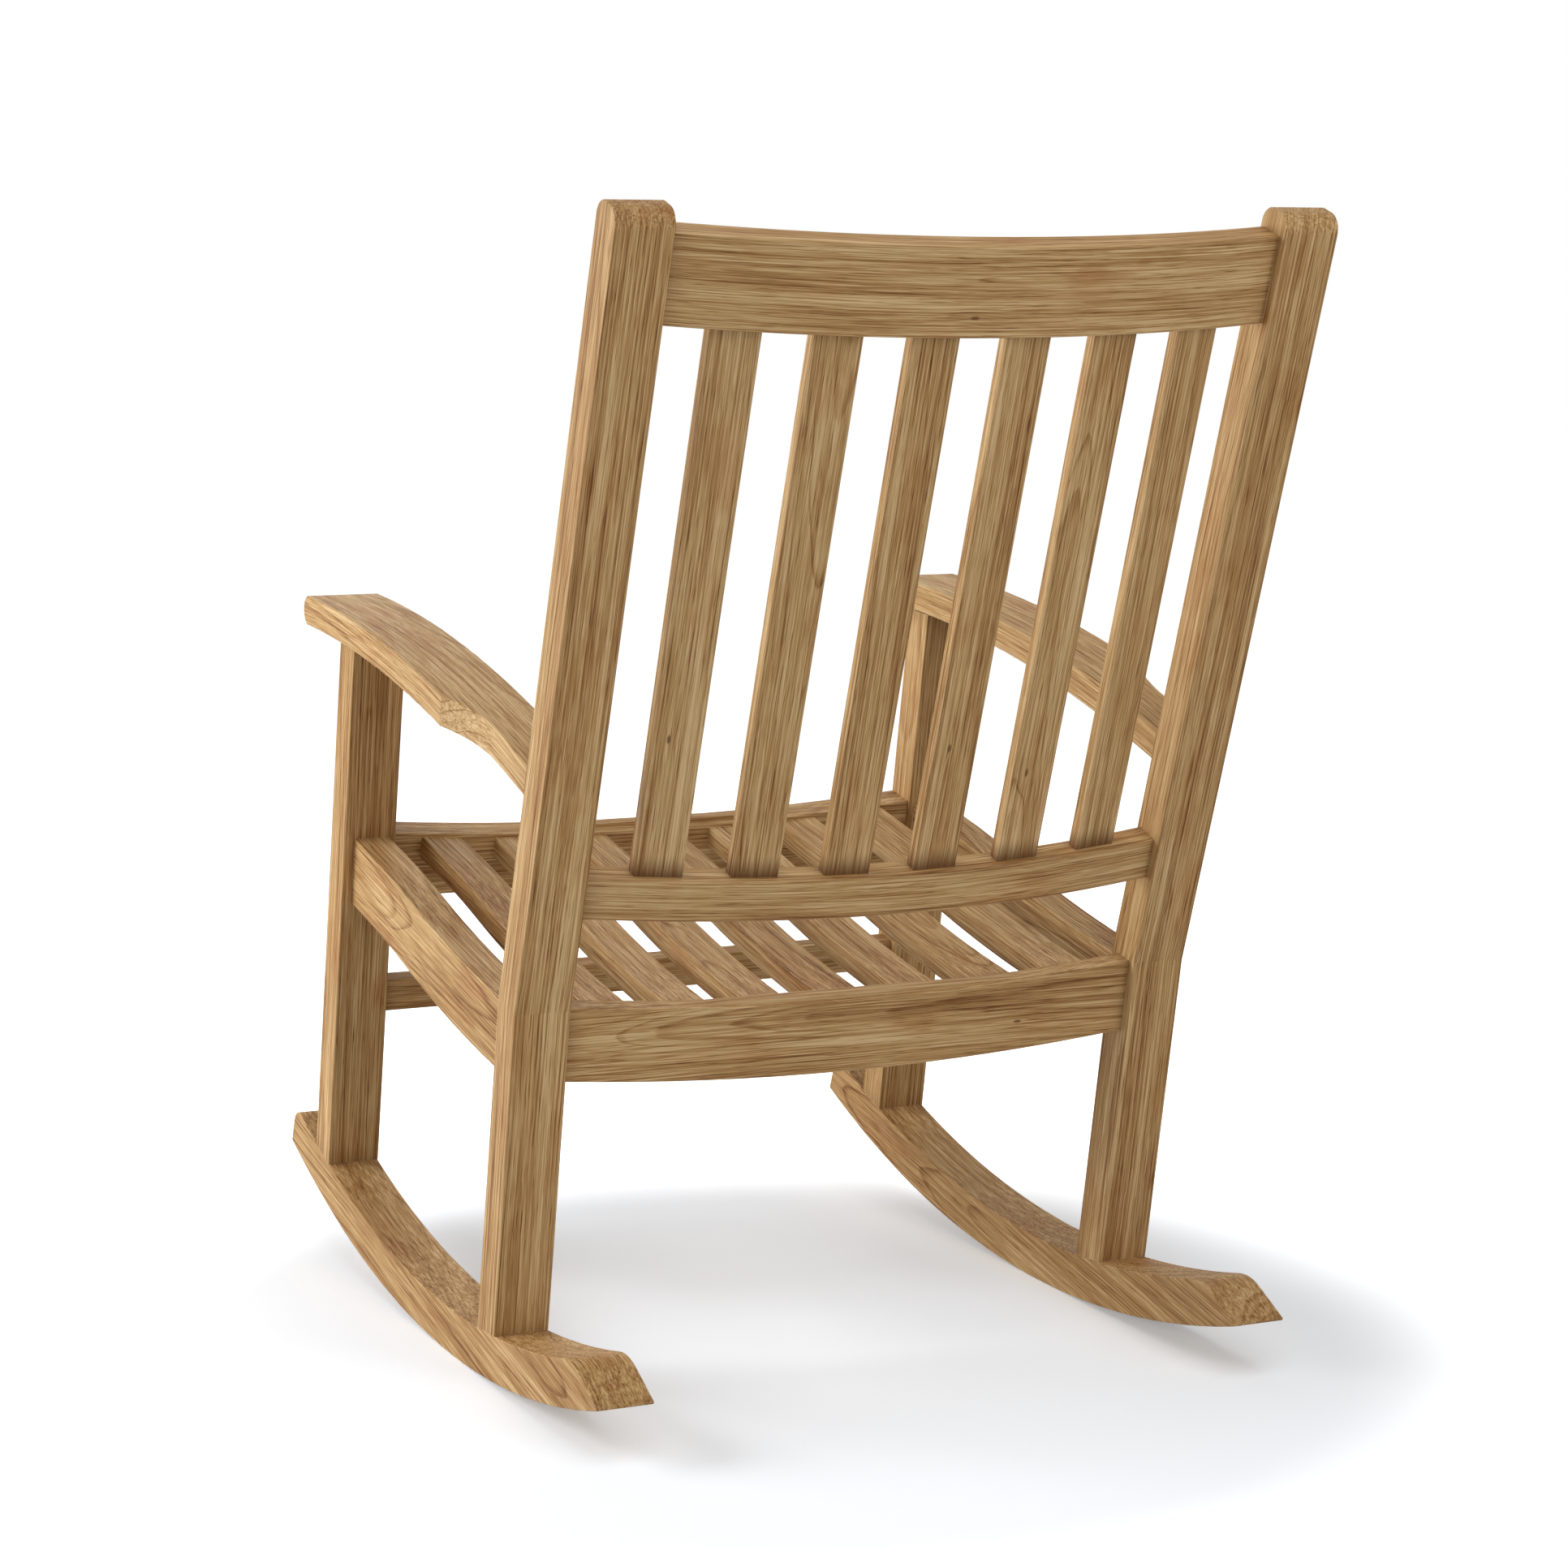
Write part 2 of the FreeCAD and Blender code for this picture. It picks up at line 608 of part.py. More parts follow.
def make_side_seat_rail(name, side):
    """A side rail, dished like the seat along its length, with a tenon on each end."""
    body = new_body(name, SEAT_FRAME)
    sketch = new_sketch(body, "side", between(side, SIDE_RAIL_IN, SIDE_RAIL_OUT))
    draw_outline(sketch, dished_outline("post_depth", POST_FACE, "side_rail_top", "side_rail_height"))
    add_pad(body, sketch, "side_rail_thick")
    round_edges(body, "edge_round", follows_side_outline)
    tenon = new_sketch(body, "side", f"{side} * ({SIDE_RAIL_IN} + side_rail_thick / 2) - tenon_thick / 2")
    draw_outline(tenon, rectangle(
        f"(post_depth + {POST_FACE}) / 2", LOW_TENON,
        f"{POST_FACE} - post_depth + 2 * tenon_length", "tenon_height"))
    add_pad(body, tenon, "tenon_thick")


def back_bow(x, through):
    """Depth in the back frame of a bowed line that meets the posts at a depth."""
    return f"({through} + sqrt(back_radius^2 - ({x})^2) - sqrt(back_radius^2 - {INNER}^2))"


def make_back_rail(name, bottom, height, tenon_high, slats_above):
    """A rail of the back, bowed backwards in plan, with mortises for the back slats."""
    body = new_body(name, BACK_FRAME)
    sketch = new_sketch(body, "plan", bottom)
    draw_outline(sketch, [
        (f"-{INNER}", BACK_RAIL_FRONT, "right", "back_radius"),
        (INNER, BACK_RAIL_FRONT),
        (INNER, BACK_RAIL_REAR, "left", "back_radius + back_rail_thick"),
        (f"-{INNER}", BACK_RAIL_REAR),
    ])
    add_pad(body, sketch, height)
    bevel_edges(body, "cross_rail_bevel", lambda edge: edge.Length > number(INNER))
    root = "back_rail_thick / 2"
    for side in SIDES.values():
        tenon = new_sketch(body, "plan", f"{bottom} + ({height}) / 2 - ({tenon_high}) / 2")
        draw_outline(tenon, rectangle(
            f"{side} * ({INNER} + (tenon_length - {root}) / 2)",
            BACK_RAIL_MIDDLE, f"tenon_length + {root}", "tenon_thick"))
        add_pad(body, tenon, tenon_high)
    face = f"{bottom} + {height}" if slats_above else bottom
    slots = new_sketch(body, "plan", face)
    for place in slat_places("back_slat_count", "back_slat_pitch"):
        turn = back_slat_turn(place)
        draw_outline(slots, mortise(
            place, back_slat_through(place), "slat_tenon_width", "back_tenon_thick",
            f"-sin({turn})", f"cos({turn})"))
    cut_pocket(body, slots, "slat_tenon_length + end_gap", along_normal=not slats_above)


def make_lower_back_rail():
    """The rail that the back slats stand on."""
    make_back_rail(
        "lower_back_rail", "lower_rail_top - lower_rail_height", "lower_rail_height",
        BACK_RAIL_TENONS[0][1], slats_above=True)


def make_crest_rail():
    """The deep rail along the top of the back."""
    make_back_rail(
        "crest_rail", "crest_bottom", "crest_height", BACK_RAIL_TENONS[1][1], slats_above=False)


# ---------------------------------------------------------------- slats

def slat_places(count, pitch):
    """Where each slat of a row stands across the chair, from the sitter's left to the right."""
    total = SIZES[count]
    return [f"({(total - 1) / 2 - index} * {pitch})" for index in range(total)]


def seat_slat_lean(x):
    """Degrees that a seat slat is tipped to follow the seat's dish."""
    return f"({x} / seat_radius * 180 / pi)"


def seat_slat_top(x):
    """Height of a seat slat's top at its middle line, at the front rail."""
    end = f"sqrt(front_scoop_radius^2 - {INNER}^2)"
    middle = f"(seat_rail_top + {end} - front_scoop_radius - seat_slat_drop)"
    return f"({middle} + seat_radius - sqrt(seat_radius^2 - {x}^2))"


SLAT_END_DROP = f"(dish_depth - dish_radius + sqrt(dish_radius^2 - ({REAR_RAIL_FRONT} - dish_low)^2))"


def back_slat_turn(x):
    """Degrees that a back slat is turned to follow the bow of the back."""
    return f"({x} / back_radius * 180 / pi)"


def back_slat_through(x):
    """Depth of a back slat's middle in the back frame."""
    return back_bow(x, f"({BACK_RAIL_MIDDLE} - back_slat_forward)")


def make_seat_slat(name, place):
    """A seat slat: dished along its length, tipped to the seat's dish, tenoned into two rails."""
    frame = (
        f"{SEAT_FRAME} * placement(vector({place}; 0; {seat_slat_top(place)});"
        f" rotation(vector(0; 1; 0); -{seat_slat_lean(place)}))")
    body = new_body(name, frame)
    sketch = new_sketch(body, "side", "-seat_slat_width / 2")
    draw_outline(sketch, dished_outline(FRONT_RAIL_BACK, REAR_RAIL_FRONT, "0", "seat_slat_thick"))
    add_pad(body, sketch, "seat_slat_width")
    round_edges(body, "slat_edge_round", follows_side_outline)
    root = "seat_slat_thick"
    tenons = new_sketch(body, "side", "-slat_tenon_width / 2")
    inset = f"({root} - slat_tenon_length) / 2"
    for middle, height in (
            (f"{FRONT_RAIL_BACK} + {inset}", "-seat_slat_thick / 2"),
            (f"{REAR_RAIL_FRONT} - {inset}", f"-{SLAT_END_DROP} - seat_slat_thick / 2")):
        draw_outline(tenons, rectangle(
            middle, height, f"slat_tenon_length + {root}", "seat_tenon_thick"))
    add_pad(body, tenons, "slat_tenon_width")


def make_back_slat(name, place):
    """A back slat: faces turned to the bow of the back, edges square to the chair, two tenons."""
    turn = back_slat_turn(place)
    frame = (
        f"{BACK_FRAME} * placement(vector({place}; {back_slat_through(place)}; 0);"
        f" rotation(vector(0; 0; 1); -{turn}))")
    body = new_body(name, frame)
    half = f"back_slat_width / 2 / cos({turn})"
    skew = f"back_slat_thick / 2 * tan({turn})"
    sketch = new_sketch(body, "plan", "lower_rail_top")
    draw_outline(sketch, [
        (f"-({half}) + {skew}", "-back_slat_thick / 2"),
        (f"{half} + {skew}", "-back_slat_thick / 2"),
        (f"{half} - {skew}", "back_slat_thick / 2"),
        (f"-({half}) - {skew}", "back_slat_thick / 2"),
    ])
    add_pad(body, sketch, "crest_bottom - lower_rail_top")
    round_edges(body, "slat_edge_round", runs_along(Z_AXIS, number("back_slat_width")))
    tenons = new_sketch(body, "plan", "lower_rail_top - slat_tenon_length")
    draw_outline(tenons, rectangle("0", "0", "slat_tenon_width", "back_tenon_thick"))
    add_pad(body, tenons, "crest_bottom - lower_rail_top + 2 * slat_tenon_length")


# ---------------------------------------------------------------- arms

def make_arm(name, side):
    """An arched arm: round nose, outer edge drawn in to the post, rear end sawn to the post's lean."""
    body = new_body(name, SEAT_FRAME)
    nose = "((arm_nose + frame_depth / 2) / (arm_radius + arm_thick / 2))"
    crown = "(arm_top - arm_thick - arm_radius)"
    past = "(frame_depth + post_depth)"

    def on_arc(radius):
        return f"frame_depth / 2 - ({radius}) * {nose}", f"{crown} + ({radius}) * sqrt(1 - {nose}^2)"

    def tail(radius):
        return past, f"{crown} + sqrt(({radius})^2 - ({past} - frame_depth / 2)^2)"

    upper = "arm_radius + arm_thick"
    sketch = new_sketch(body, "side", between(side, INNER, ARM_OUT))
    draw_outline(sketch, [
        (*on_arc("arm_radius"), "right", "arm_radius"),
        tail("arm_radius"),
        (*tail(upper), "left", upper),
        (*on_arc(upper), "left", "arm_nose_radius"),
    ])
    add_pad(body, sketch, "arm_width")

    waste = new_sketch(body, "plan", "arm_top")
    draw_in = f"({ARM_OUT} - {OUTER})"
    waist = "(arm_waist_end - arm_waist_start)"
    waist_radius = f"({draw_in}^2 + {waist}^2) / (2 * {draw_in})"
    turn = "right" if side > 0 else "left"
    beyond = f"{side} * ({ARM_OUT} + {HEADROOM})"
    draw_outline(waste, [
        (f"{side} * {ARM_OUT}", "arm_waist_start", turn, waist_radius),
        (f"{side} * {OUTER}", "arm_waist_end"),
        (f"{side} * {OUTER}", f"{past} + {HEADROOM}"),
        (beyond, f"{past} + {HEADROOM}"),
        (beyond, "arm_waist_start"),
    ])
    cut_pocket(body, waste, "arm_top")

    low = f"({ARM_END_HEIGHT} - 2 * arm_thick)"
    high = f"({ARM_END_HEIGHT} + 2 * arm_thick)"
    end = new_sketch(body, "side", between(side, f"({INNER} - {HEADROOM})", f"({ARM_OUT} + {HEADROOM})"))
    draw_outline(end, [
        (post_front(low), low),
        (f"{past} + {HEADROOM}", low),
        (f"{past} + {HEADROOM}", high),
        (post_front(high), high),
    ])
    cut_pocket(body, end, f"arm_width + 2 * {HEADROOM}", along_normal=True)
    rear = number(post_front(low))
    round_edges(body, "arm_edge_round", lambda edge: (
        not runs_along(X_AXIS)(edge) and not runs_along(Z_AXIS)(edge)
        and edge.BoundBox.YMin < rear - CLEAR))
    holes = dowel_rows(LEG_MIDDLE)
    drill_down(body, side, holes, arm_underside(LEG_MIDDLE), "arm_dowel_reach", upwards=True)
    drill_arm_end(body, side, forwards=True)


# ---------------------------------------------------------------- dowels

def new_dowel(size, length, base, axis="1; 0; 0", angle="0"):
    """One dowel: a plain cylinder, turned about an axis."""
    dowel = doc.addObject("Part::Cylinder", "dowel")
    dowel.setExpression("Radius", bound(f"{size} / 2"))
    dowel.setExpression("Height", bound(length))
    dowel.setExpression("Placement", bound(f"placement(vector({base}); rotation(vector({axis}); {angle}))"))
    return dowel


def group_dowels(name, dowels):
    """One node that holds a set of dowels as separate solids."""
    group = doc.addObject("Part::Compound", name)
    group.Label = name
    group.Links = dowels
    group.setExpression("Placement", bound(SEAT_FRAME))
    pieces.append(group)


def make_rocker_dowels():
    """Two dowels under each leg and post."""
    dowels = []
    for side in SIDES.values():
        for middle in (LEG_MIDDLE, POST_MIDDLE):
            for row in dowel_rows(middle):
                foot = f"{rocker_top(middle)} - dowel_reach"
                base = f"{side} * ({OUTER} - post_width / 2); {row}; {foot}"
                dowels.append(new_dowel("dowel_size", "2 * dowel_reach", base))
    group_dowels("rocker_dowels", dowels)


def make_arm_dowels():
    """Two dowels on top of each front leg, and two through the rear end of each arm."""
    dowels = []
    face = post_front(ARM_END_HEIGHT)
    for side in SIDES.values():
        for row in dowel_rows(LEG_MIDDLE):
            foot = f"{arm_underside(LEG_MIDDLE)} - dowel_reach"
            base = f"{side} * ({OUTER} - post_width / 2); {row}; {foot}"
            dowels.append(new_dowel("dowel_size", "dowel_reach + arm_dowel_reach", base))
        for across in arm_end_dowels(side):
            base = f"{across}; {face} - arm_end_dowel_reach; {ARM_END_HEIGHT}"
            length = "2 * arm_end_dowel_reach"
            dowels.append(new_dowel("arm_end_dowel_size", length, base, angle="-90"))
    group_dowels("arm_dowels", dowels)


# ---------------------------------------------------------------- the whole chair

def set_size(name, value):
    """Writes one size's cell again and rebuilds."""
    sheet.set(f"B{list(SIZES).index(name) + 1}", str(value))
    doc.recompute()


def settle():
    """Rolls the square chair back until its centre of mass is straight under the arc's centre."""
    solids = [solid for piece in pieces for solid in piece.Shape.Solids]
    volume = sum(solid.Volume for solid in solids)
    balance = sum((solid.CenterOfMass * solid.Volume for solid in solids), FreeCAD.Vector()) / volume
    set_size("recline", math.degrees(math.atan2(balance.y, number("rocker_radius") - balance.z)))


def centre_on_origin():
    """Shifts the chair so that the origin lies under the middle of its bounding box."""
    boxes = [piece.Shape.optimalBoundingBox() for piece in pieces]
    front = min(box.YMin for box in boxes)
    rear = max(box.YMax for box in boxes)
    set_size("centre_shift", -(front + rear) / 2)


def check_document():
    """Stops if any object failed, or any sub-part has no valid shape."""
    failed = [item.Name for item in doc.Objects if "Invalid" in item.State or "Error" in item.State]
    failed += [piece.Label for piece in pieces if piece.Shape.isNull() or not piece.Shape.isValid()]
    if failed:
        raise RuntimeError(f"failed: {failed}")


def write_parts():
    """Writes each sub-part to its own STEP file."""
    os.makedirs("parts", exist_ok=True)
    for piece in pieces:
        piece.Shape.exportStep(f"parts/{piece.Label}.step")


def main():
    """Builds the chair piece by piece, checks it and writes it."""
    fill_sheet()
    for name, side in SIDES.items():
        make_rocker(f"rocker_{name}", side)
        make_front_leg(f"front_leg_{name}", side)
        make_rear_post(f"rear_post_{name}", side)
        make_side_seat_rail(f"side_seat_rail_{name}", side)
        make_arm(f"arm_{name}", side)
    make_front_seat_rail()
    make_rear_seat_rail()
    make_front_stretcher()
    make_lower_back_rail()
    make_crest_rail()
    for index, place in enumerate(slat_places("seat_slat_count", "seat_slat_pitch"), start=1):
        make_seat_slat(f"seat_slat_{index}", place)
    for index, place in enumerate(slat_places("back_slat_count", "back_slat_pitch"), start=1):
        make_back_slat(f"back_slat_{index}", place)
    make_rocker_dowels()
    make_arm_dowels()
    doc.recompute()
    settle()
    centre_on_origin()
    check_document()
    write_parts()


main()
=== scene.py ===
"""A slatted wooden rocking armchair: its timber, joint by joint, and the studio it stands in."""

import logging
import math
from dataclasses import dataclass, field
from enum import Enum

import bpy
from mathutils import Euler, Matrix, Vector

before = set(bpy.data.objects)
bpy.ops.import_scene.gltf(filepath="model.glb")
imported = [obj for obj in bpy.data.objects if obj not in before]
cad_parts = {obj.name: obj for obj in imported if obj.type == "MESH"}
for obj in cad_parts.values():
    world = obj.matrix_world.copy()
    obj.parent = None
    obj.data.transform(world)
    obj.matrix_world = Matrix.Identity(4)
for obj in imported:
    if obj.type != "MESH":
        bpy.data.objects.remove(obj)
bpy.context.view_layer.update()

LOG = logging.getLogger("rocking_chair")
Number = float | tuple[float, ...] | bpy.types.NodeSocket
MM = 0.001
RAIL_TENON = 25 * MM
SLAT_TENON = 12 * MM
FAR_KNOT = (9, 9, 0)    # a knot's place when the board has none there


def paint(red: int, green: int, blue: int) -> tuple[float, float, float, float]:
    """Turns a colour as a screen shows it into the linear colour that shaders use.

    Args:
        red: Red, from 0 to 255.
        green: Green, from 0 to 255.
        blue: Blue, from 0 to 255.

    Returns:
        The linear colour with full alpha.
    """
    def linear(level: int) -> float:
        share = level / 255
        return share / 12.92 if share <= 0.04045 else ((share + 0.055) / 1.055) ** 2.4
    return linear(red), linear(green), linear(blue), 1.0


# ------------------------------------------------------------------ how a board lies in the chair

class Run(Enum):
    """Which way a board's length and its broad face lie."""

    UPRIGHT = "up the chair, its broad face to the rear"
    ACROSS = "from side to side, its broad face to the rear"
    DEEP_ON_EDGE = "from front to rear, its broad face to the side"
    DEEP_FLAT = "from front to rear, its broad face upwards"


class Sawing(Enum):
    """Where the heart of the tree lies from the board, across its width and thickness."""

    FLAT = (0.012, -0.034)
    RIFT = (0.046, -0.040)
    QUARTER = (0.095, -0.012)


@dataclass(frozen=True)
class Lean:
    """How far pieces lean back from upright, in degrees."""

    seat: float = 11.087
    back: float = 8.31

    def axes(self, extra: float = 0.0, turn: float = 0.0) -> tuple[Vector, Vector, Vector]:
        """Gives the chair's own axes at a lean.

        Args:
            extra: Degrees of lean beyond the seat's.
            turn: Degrees that a piece is turned about its own upright.

        Returns:
            Unit vectors across the chair, rearwards through it, and up it.
        """
        tilt = Matrix.Rotation(-math.radians(self.seat + extra), 3, "X")
        turned = tilt @ Matrix.Rotation(-math.radians(turn), 3, "Z")
        return tuple(turned @ Vector(axis) for axis in ((1, 0, 0), (0, 1, 0), (0, 0, 1)))


@dataclass
class Board:
    """One piece of timber: the CAD node that it dresses and how its grain lies."""

    node: str
    run: Run
    seed: float
    sawing: Sawing = Sawing.RIFT
    flip: int = 1                   # -1 puts the heart of the tree on the other side
    extra_lean: float = 0.0         # degrees beyond the seat's
    turn: float = 0.0               # degrees about its own upright
    bend_thickness: float = 0.0     # curve through the thickness, as one over its radius
    kink_height: float = 0.0        # from the middle of the board
    kink_slope: float = 0.0
    tone: float = 0.0               # how much darker than the rest
    painted_end_shade: float = 0.2          # how much painted shade darkens the ends
    end_shift: float = 0.0          # puts the painted shade on one end only: over 0 the foot, under 0 the rear
    tenon: float = 0.0              # hidden length at each end
    knots: tuple[tuple[float, float], ...] = ()     # places, as shares of the half sizes
    centre: Vector = field(default_factory=Vector)
    half: Vector = field(default_factory=Vector)
    rotation: Euler = field(default_factory=Euler)

    def measure(self, lean: Lean) -> None:
        """Finds the board's middle, half sizes and turning from its CAD node.

        Args:
            lean: How the chair leans.
        """
        across, rearwards, up = lean.axes(self.extra_lean, self.turn)
        along, wide, thick = {
            Run.UPRIGHT: (up, across, rearwards),
            Run.ACROSS: (across, up, -rearwards),
            Run.DEEP_ON_EDGE: (rearwards, up, across),
            Run.DEEP_FLAT: (rearwards, -across, up),
        }[self.run]
        turning = Matrix((along, wide, thick)).transposed()
        inverse = turning.transposed()
        points = [inverse @ vertex.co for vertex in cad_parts[self.node].data.vertices]
        low = Vector(min(point[axis] for point in points) for axis in range(3))
        high = Vector(max(point[axis] for point in points) for axis in range(3))
        self.centre = turning @ ((low + high) / 2)
        self.half = (high - low) / 2
        self.rotation = turning.to_euler()


# ------------------------------------------------------------------ node wiring

class Wiring:
    """Places nodes in one tree and joins them."""

    def __init__(self, tree: bpy.types.NodeTree) -> None:
        """Starts on a tree."""
        self.tree = tree

    def feed(self, socket: bpy.types.NodeSocket, value: Number | None) -> None:
        """Links a socket to another, or sets its own value.

        Args:
            socket: The input to feed.
            value: A socket to link, a number or tuple to set, or None to leave it.
        """
        if value is None:
            return
        if isinstance(value, bpy.types.NodeSocket):
            self.tree.links.new(value, socket)
        else:
            socket.default_value = value

    def node(self, kind: str, settings: dict[str, object] | None = None,
             **inputs: Number) -> bpy.types.Node:
        """Adds a node, with its settings and its named inputs.

        Args:
            kind: The node's type, without the ShaderNode prefix.
            settings: Attributes of the node itself.
            **inputs: Inputs by name, with an underscore for each space.

        Returns:
            The new node.
        """
        made = self.tree.nodes.new(f"ShaderNode{kind}")
        for name, value in (settings or {}).items():
            setattr(made, name, value)
        for name, value in inputs.items():
            self.feed(made.inputs[name.replace("_", " ")], value)
        return made

    def math(self, operation: str, *values: Number) -> bpy.types.NodeSocket:
        """Adds a Math node and returns its result."""
        made = self.node("Math", {"operation": operation})
        for socket, value in zip(made.inputs, values):
            self.feed(socket, value)
        return made.outputs[0]

    def vector(self, operation: str, *values: Number) -> bpy.types.NodeSocket:
        """Adds a Vector Math node and returns its vector."""
        made = self.node("VectorMath", {"operation": operation})
        for socket, value in zip(made.inputs, values):
            self.feed(socket, value)
        return made.outputs["Vector"]

    def spread(self, value: Number, low: float, high: float, to_low: float = 0.0,
               to_high: float = 1.0) -> bpy.types.NodeSocket:
        """Moves a value smoothly from one range to another.

        Args:
            value: What to move.
            low: The value that gives to_low.
            high: The value that gives to_high.
            to_low: Result at low and under it.
            to_high: Result at high and over it.

        Returns:
            The result's socket.
        """
        made = self.node("MapRange", {"interpolation_type": "SMOOTHSTEP"}, Value=value)
        for name, number in zip(("From Min", "From Max", "To Min", "To Max"),
                                (low, high, to_low, to_high)):
            made.inputs[name].default_value = number
        return made.outputs["Result"]

    def noise(self, vector: Number, seed: Number, detail: float = 2.0,
              roughness: float = 0.5) -> bpy.types.Node:
        """Adds a seeded noise of unit scale."""
        return self.node("TexNoise", {"noise_dimensions": "4D"}, Vector=vector, W=seed,
                         Scale=1.0, Detail=detail, Roughness=roughness)

    def mix(self, factor: Number, first: Number, second: Number,
            blend: str = "MIX") -> bpy.types.NodeSocket:
        """Mixes two colours and returns the result."""
        made = self.node("Mix", {"data_type": "RGBA", "blend_type": blend})
        for index, value in ((0, factor), (6, first), (7, second)):
            self.feed(made.inputs[index], value)
        return made.outputs[2]


def new_group(name: str, inputs: dict[str, tuple[str, Number]],
              outputs: dict[str, str]) -> tuple[
                  bpy.types.NodeTree, Wiring, dict[str, bpy.types.NodeSocket], bpy.types.Node]:
    """Makes an empty node group with named sockets.

    Args:
        name: The group's name.
        inputs: For each input, its kind of socket and its default.
        outputs: For each output, its kind of socket.

    Returns:
        The group, its wiring, its inputs by name inside it, and its output node.
    """
    group = bpy.data.node_groups.new(name, "ShaderNodeTree")
    for label, (kind, default) in inputs.items():
        socket = group.interface.new_socket(label, in_out="INPUT", socket_type=f"NodeSocket{kind}")
        socket.default_value = default
    for label, kind in outputs.items():
        group.interface.new_socket(label, in_out="OUTPUT", socket_type=f"NodeSocket{kind}")
    wiring = Wiring(group)
    entry = group.nodes.new("NodeGroupInput")
    exit_node = group.nodes.new("NodeGroupOutput")
    return group, wiring, {label: entry.outputs[label] for label in inputs}, exit_node


# ------------------------------------------------------------------ shared effects

def make_straightening() -> bpy.types.NodeTree:
    """Makes the group that straightens a bent board, so that its grain follows it.

    Returns:
        A group from a place in the board to the place that it had in the straight plank.
    """
    group, wiring, given, out = new_group(
        "Straightened plank",
        {"Vector": ("Vector", (0, 0, 0)), "Bend Thickness": ("Float", 0.0),
         "Kink Place": ("Float", 0.0), "Kink Slope": ("Float", 0.0)},
        {"Vector": "Vector"})
    parts = wiring.node("SeparateXYZ", Vector=given["Vector"])
    along, wide, thick = parts.outputs
    bulge = wiring.math("MULTIPLY", wiring.math("MULTIPLY", along, along), 0.5)
    past = wiring.math("MAXIMUM", wiring.math("SUBTRACT", along, given["Kink Place"]), 0.0)
    thick = wiring.math("SUBTRACT", thick, wiring.math("MULTIPLY", bulge, given["Bend Thickness"]))
    thick = wiring.math("SUBTRACT", thick, wiring.math("MULTIPLY", past, given["Kink Slope"]))
    straight = wiring.node("CombineXYZ", X=along, Y=wide, Z=thick)
    wiring.feed(out.inputs["Vector"], straight.outputs[0])
    return group


@dataclass(frozen=True)
class Grain:
    """How finely each part of the figure repeats: times a metre along the board, and across it."""

    drift: tuple[float, float] = (3.2, 9.0)
    ragged: tuple[float, float] = (18.0, 420.0)
    streak: tuple[float, float] = (2.2, 240.0)
    fibre: tuple[float, float] = (9.0, 740.0)
    pore: tuple[float, float] = (34.0, 1100.0)
    mottle: tuple[float, float] = (9.0, 30.0)


@dataclass(frozen=True)
class Knots:
    """The shape of a small knot, in shares of its reach."""

    length_share: float = 0.4       # how far it is drawn out along the grain: less is longer
    falloff: float = -0.7
    ring_push: float = 3 * MM       # how far the rings bend round it
    eye: tuple[float, float] = (0.14, 0.36)


def draw_knots(wiring: Wiring, given: dict[str, bpy.types.NodeSocket],
               place: tuple[bpy.types.NodeSocket, bpy.types.NodeSocket],
               radius: bpy.types.NodeSocket) -> tuple[bpy.types.NodeSocket, bpy.types.NodeSocket]:
    """Bends the growth rings round the knots.

    Args:
        wiring: The figure group's wiring.
        given: The group's inputs by name.
        place: The place along and across the board.
        radius: How far the place is from the heart of the tree.

    Returns:
        The radius pushed out round the knots, and a mask of the knots themselves.
    """
    knots = Knots()
    eyes = []
    for label in ("Knot 1", "Knot 2"):
        knot = wiring.node("SeparateXYZ", Vector=given[label])
        off_along = wiring.math("MULTIPLY", wiring.math(
            "SUBTRACT", place[0], knot.outputs[0]), knots.length_share)
        off_wide = wiring.math("SUBTRACT", place[1], knot.outputs[1])
        share = wiring.math("DIVIDE", wiring.math("SQRT", wiring.math(
            "ADD", wiring.math("MULTIPLY", off_along, off_along),
            wiring.math("MULTIPLY", off_wide, off_wide))), given["Knot Reach"])
        pull = wiring.math("EXPONENT", wiring.math(
            "MULTIPLY", wiring.math("MULTIPLY", share, share), knots.falloff))
        radius = wiring.math("ADD", radius, wiring.math("MULTIPLY", pull, knots.ring_push))
        eyes.append(wiring.spread(share, *knots.eye, 1.0, 0.0))
    return radius, wiring.math("MAXIMUM", *eyes)


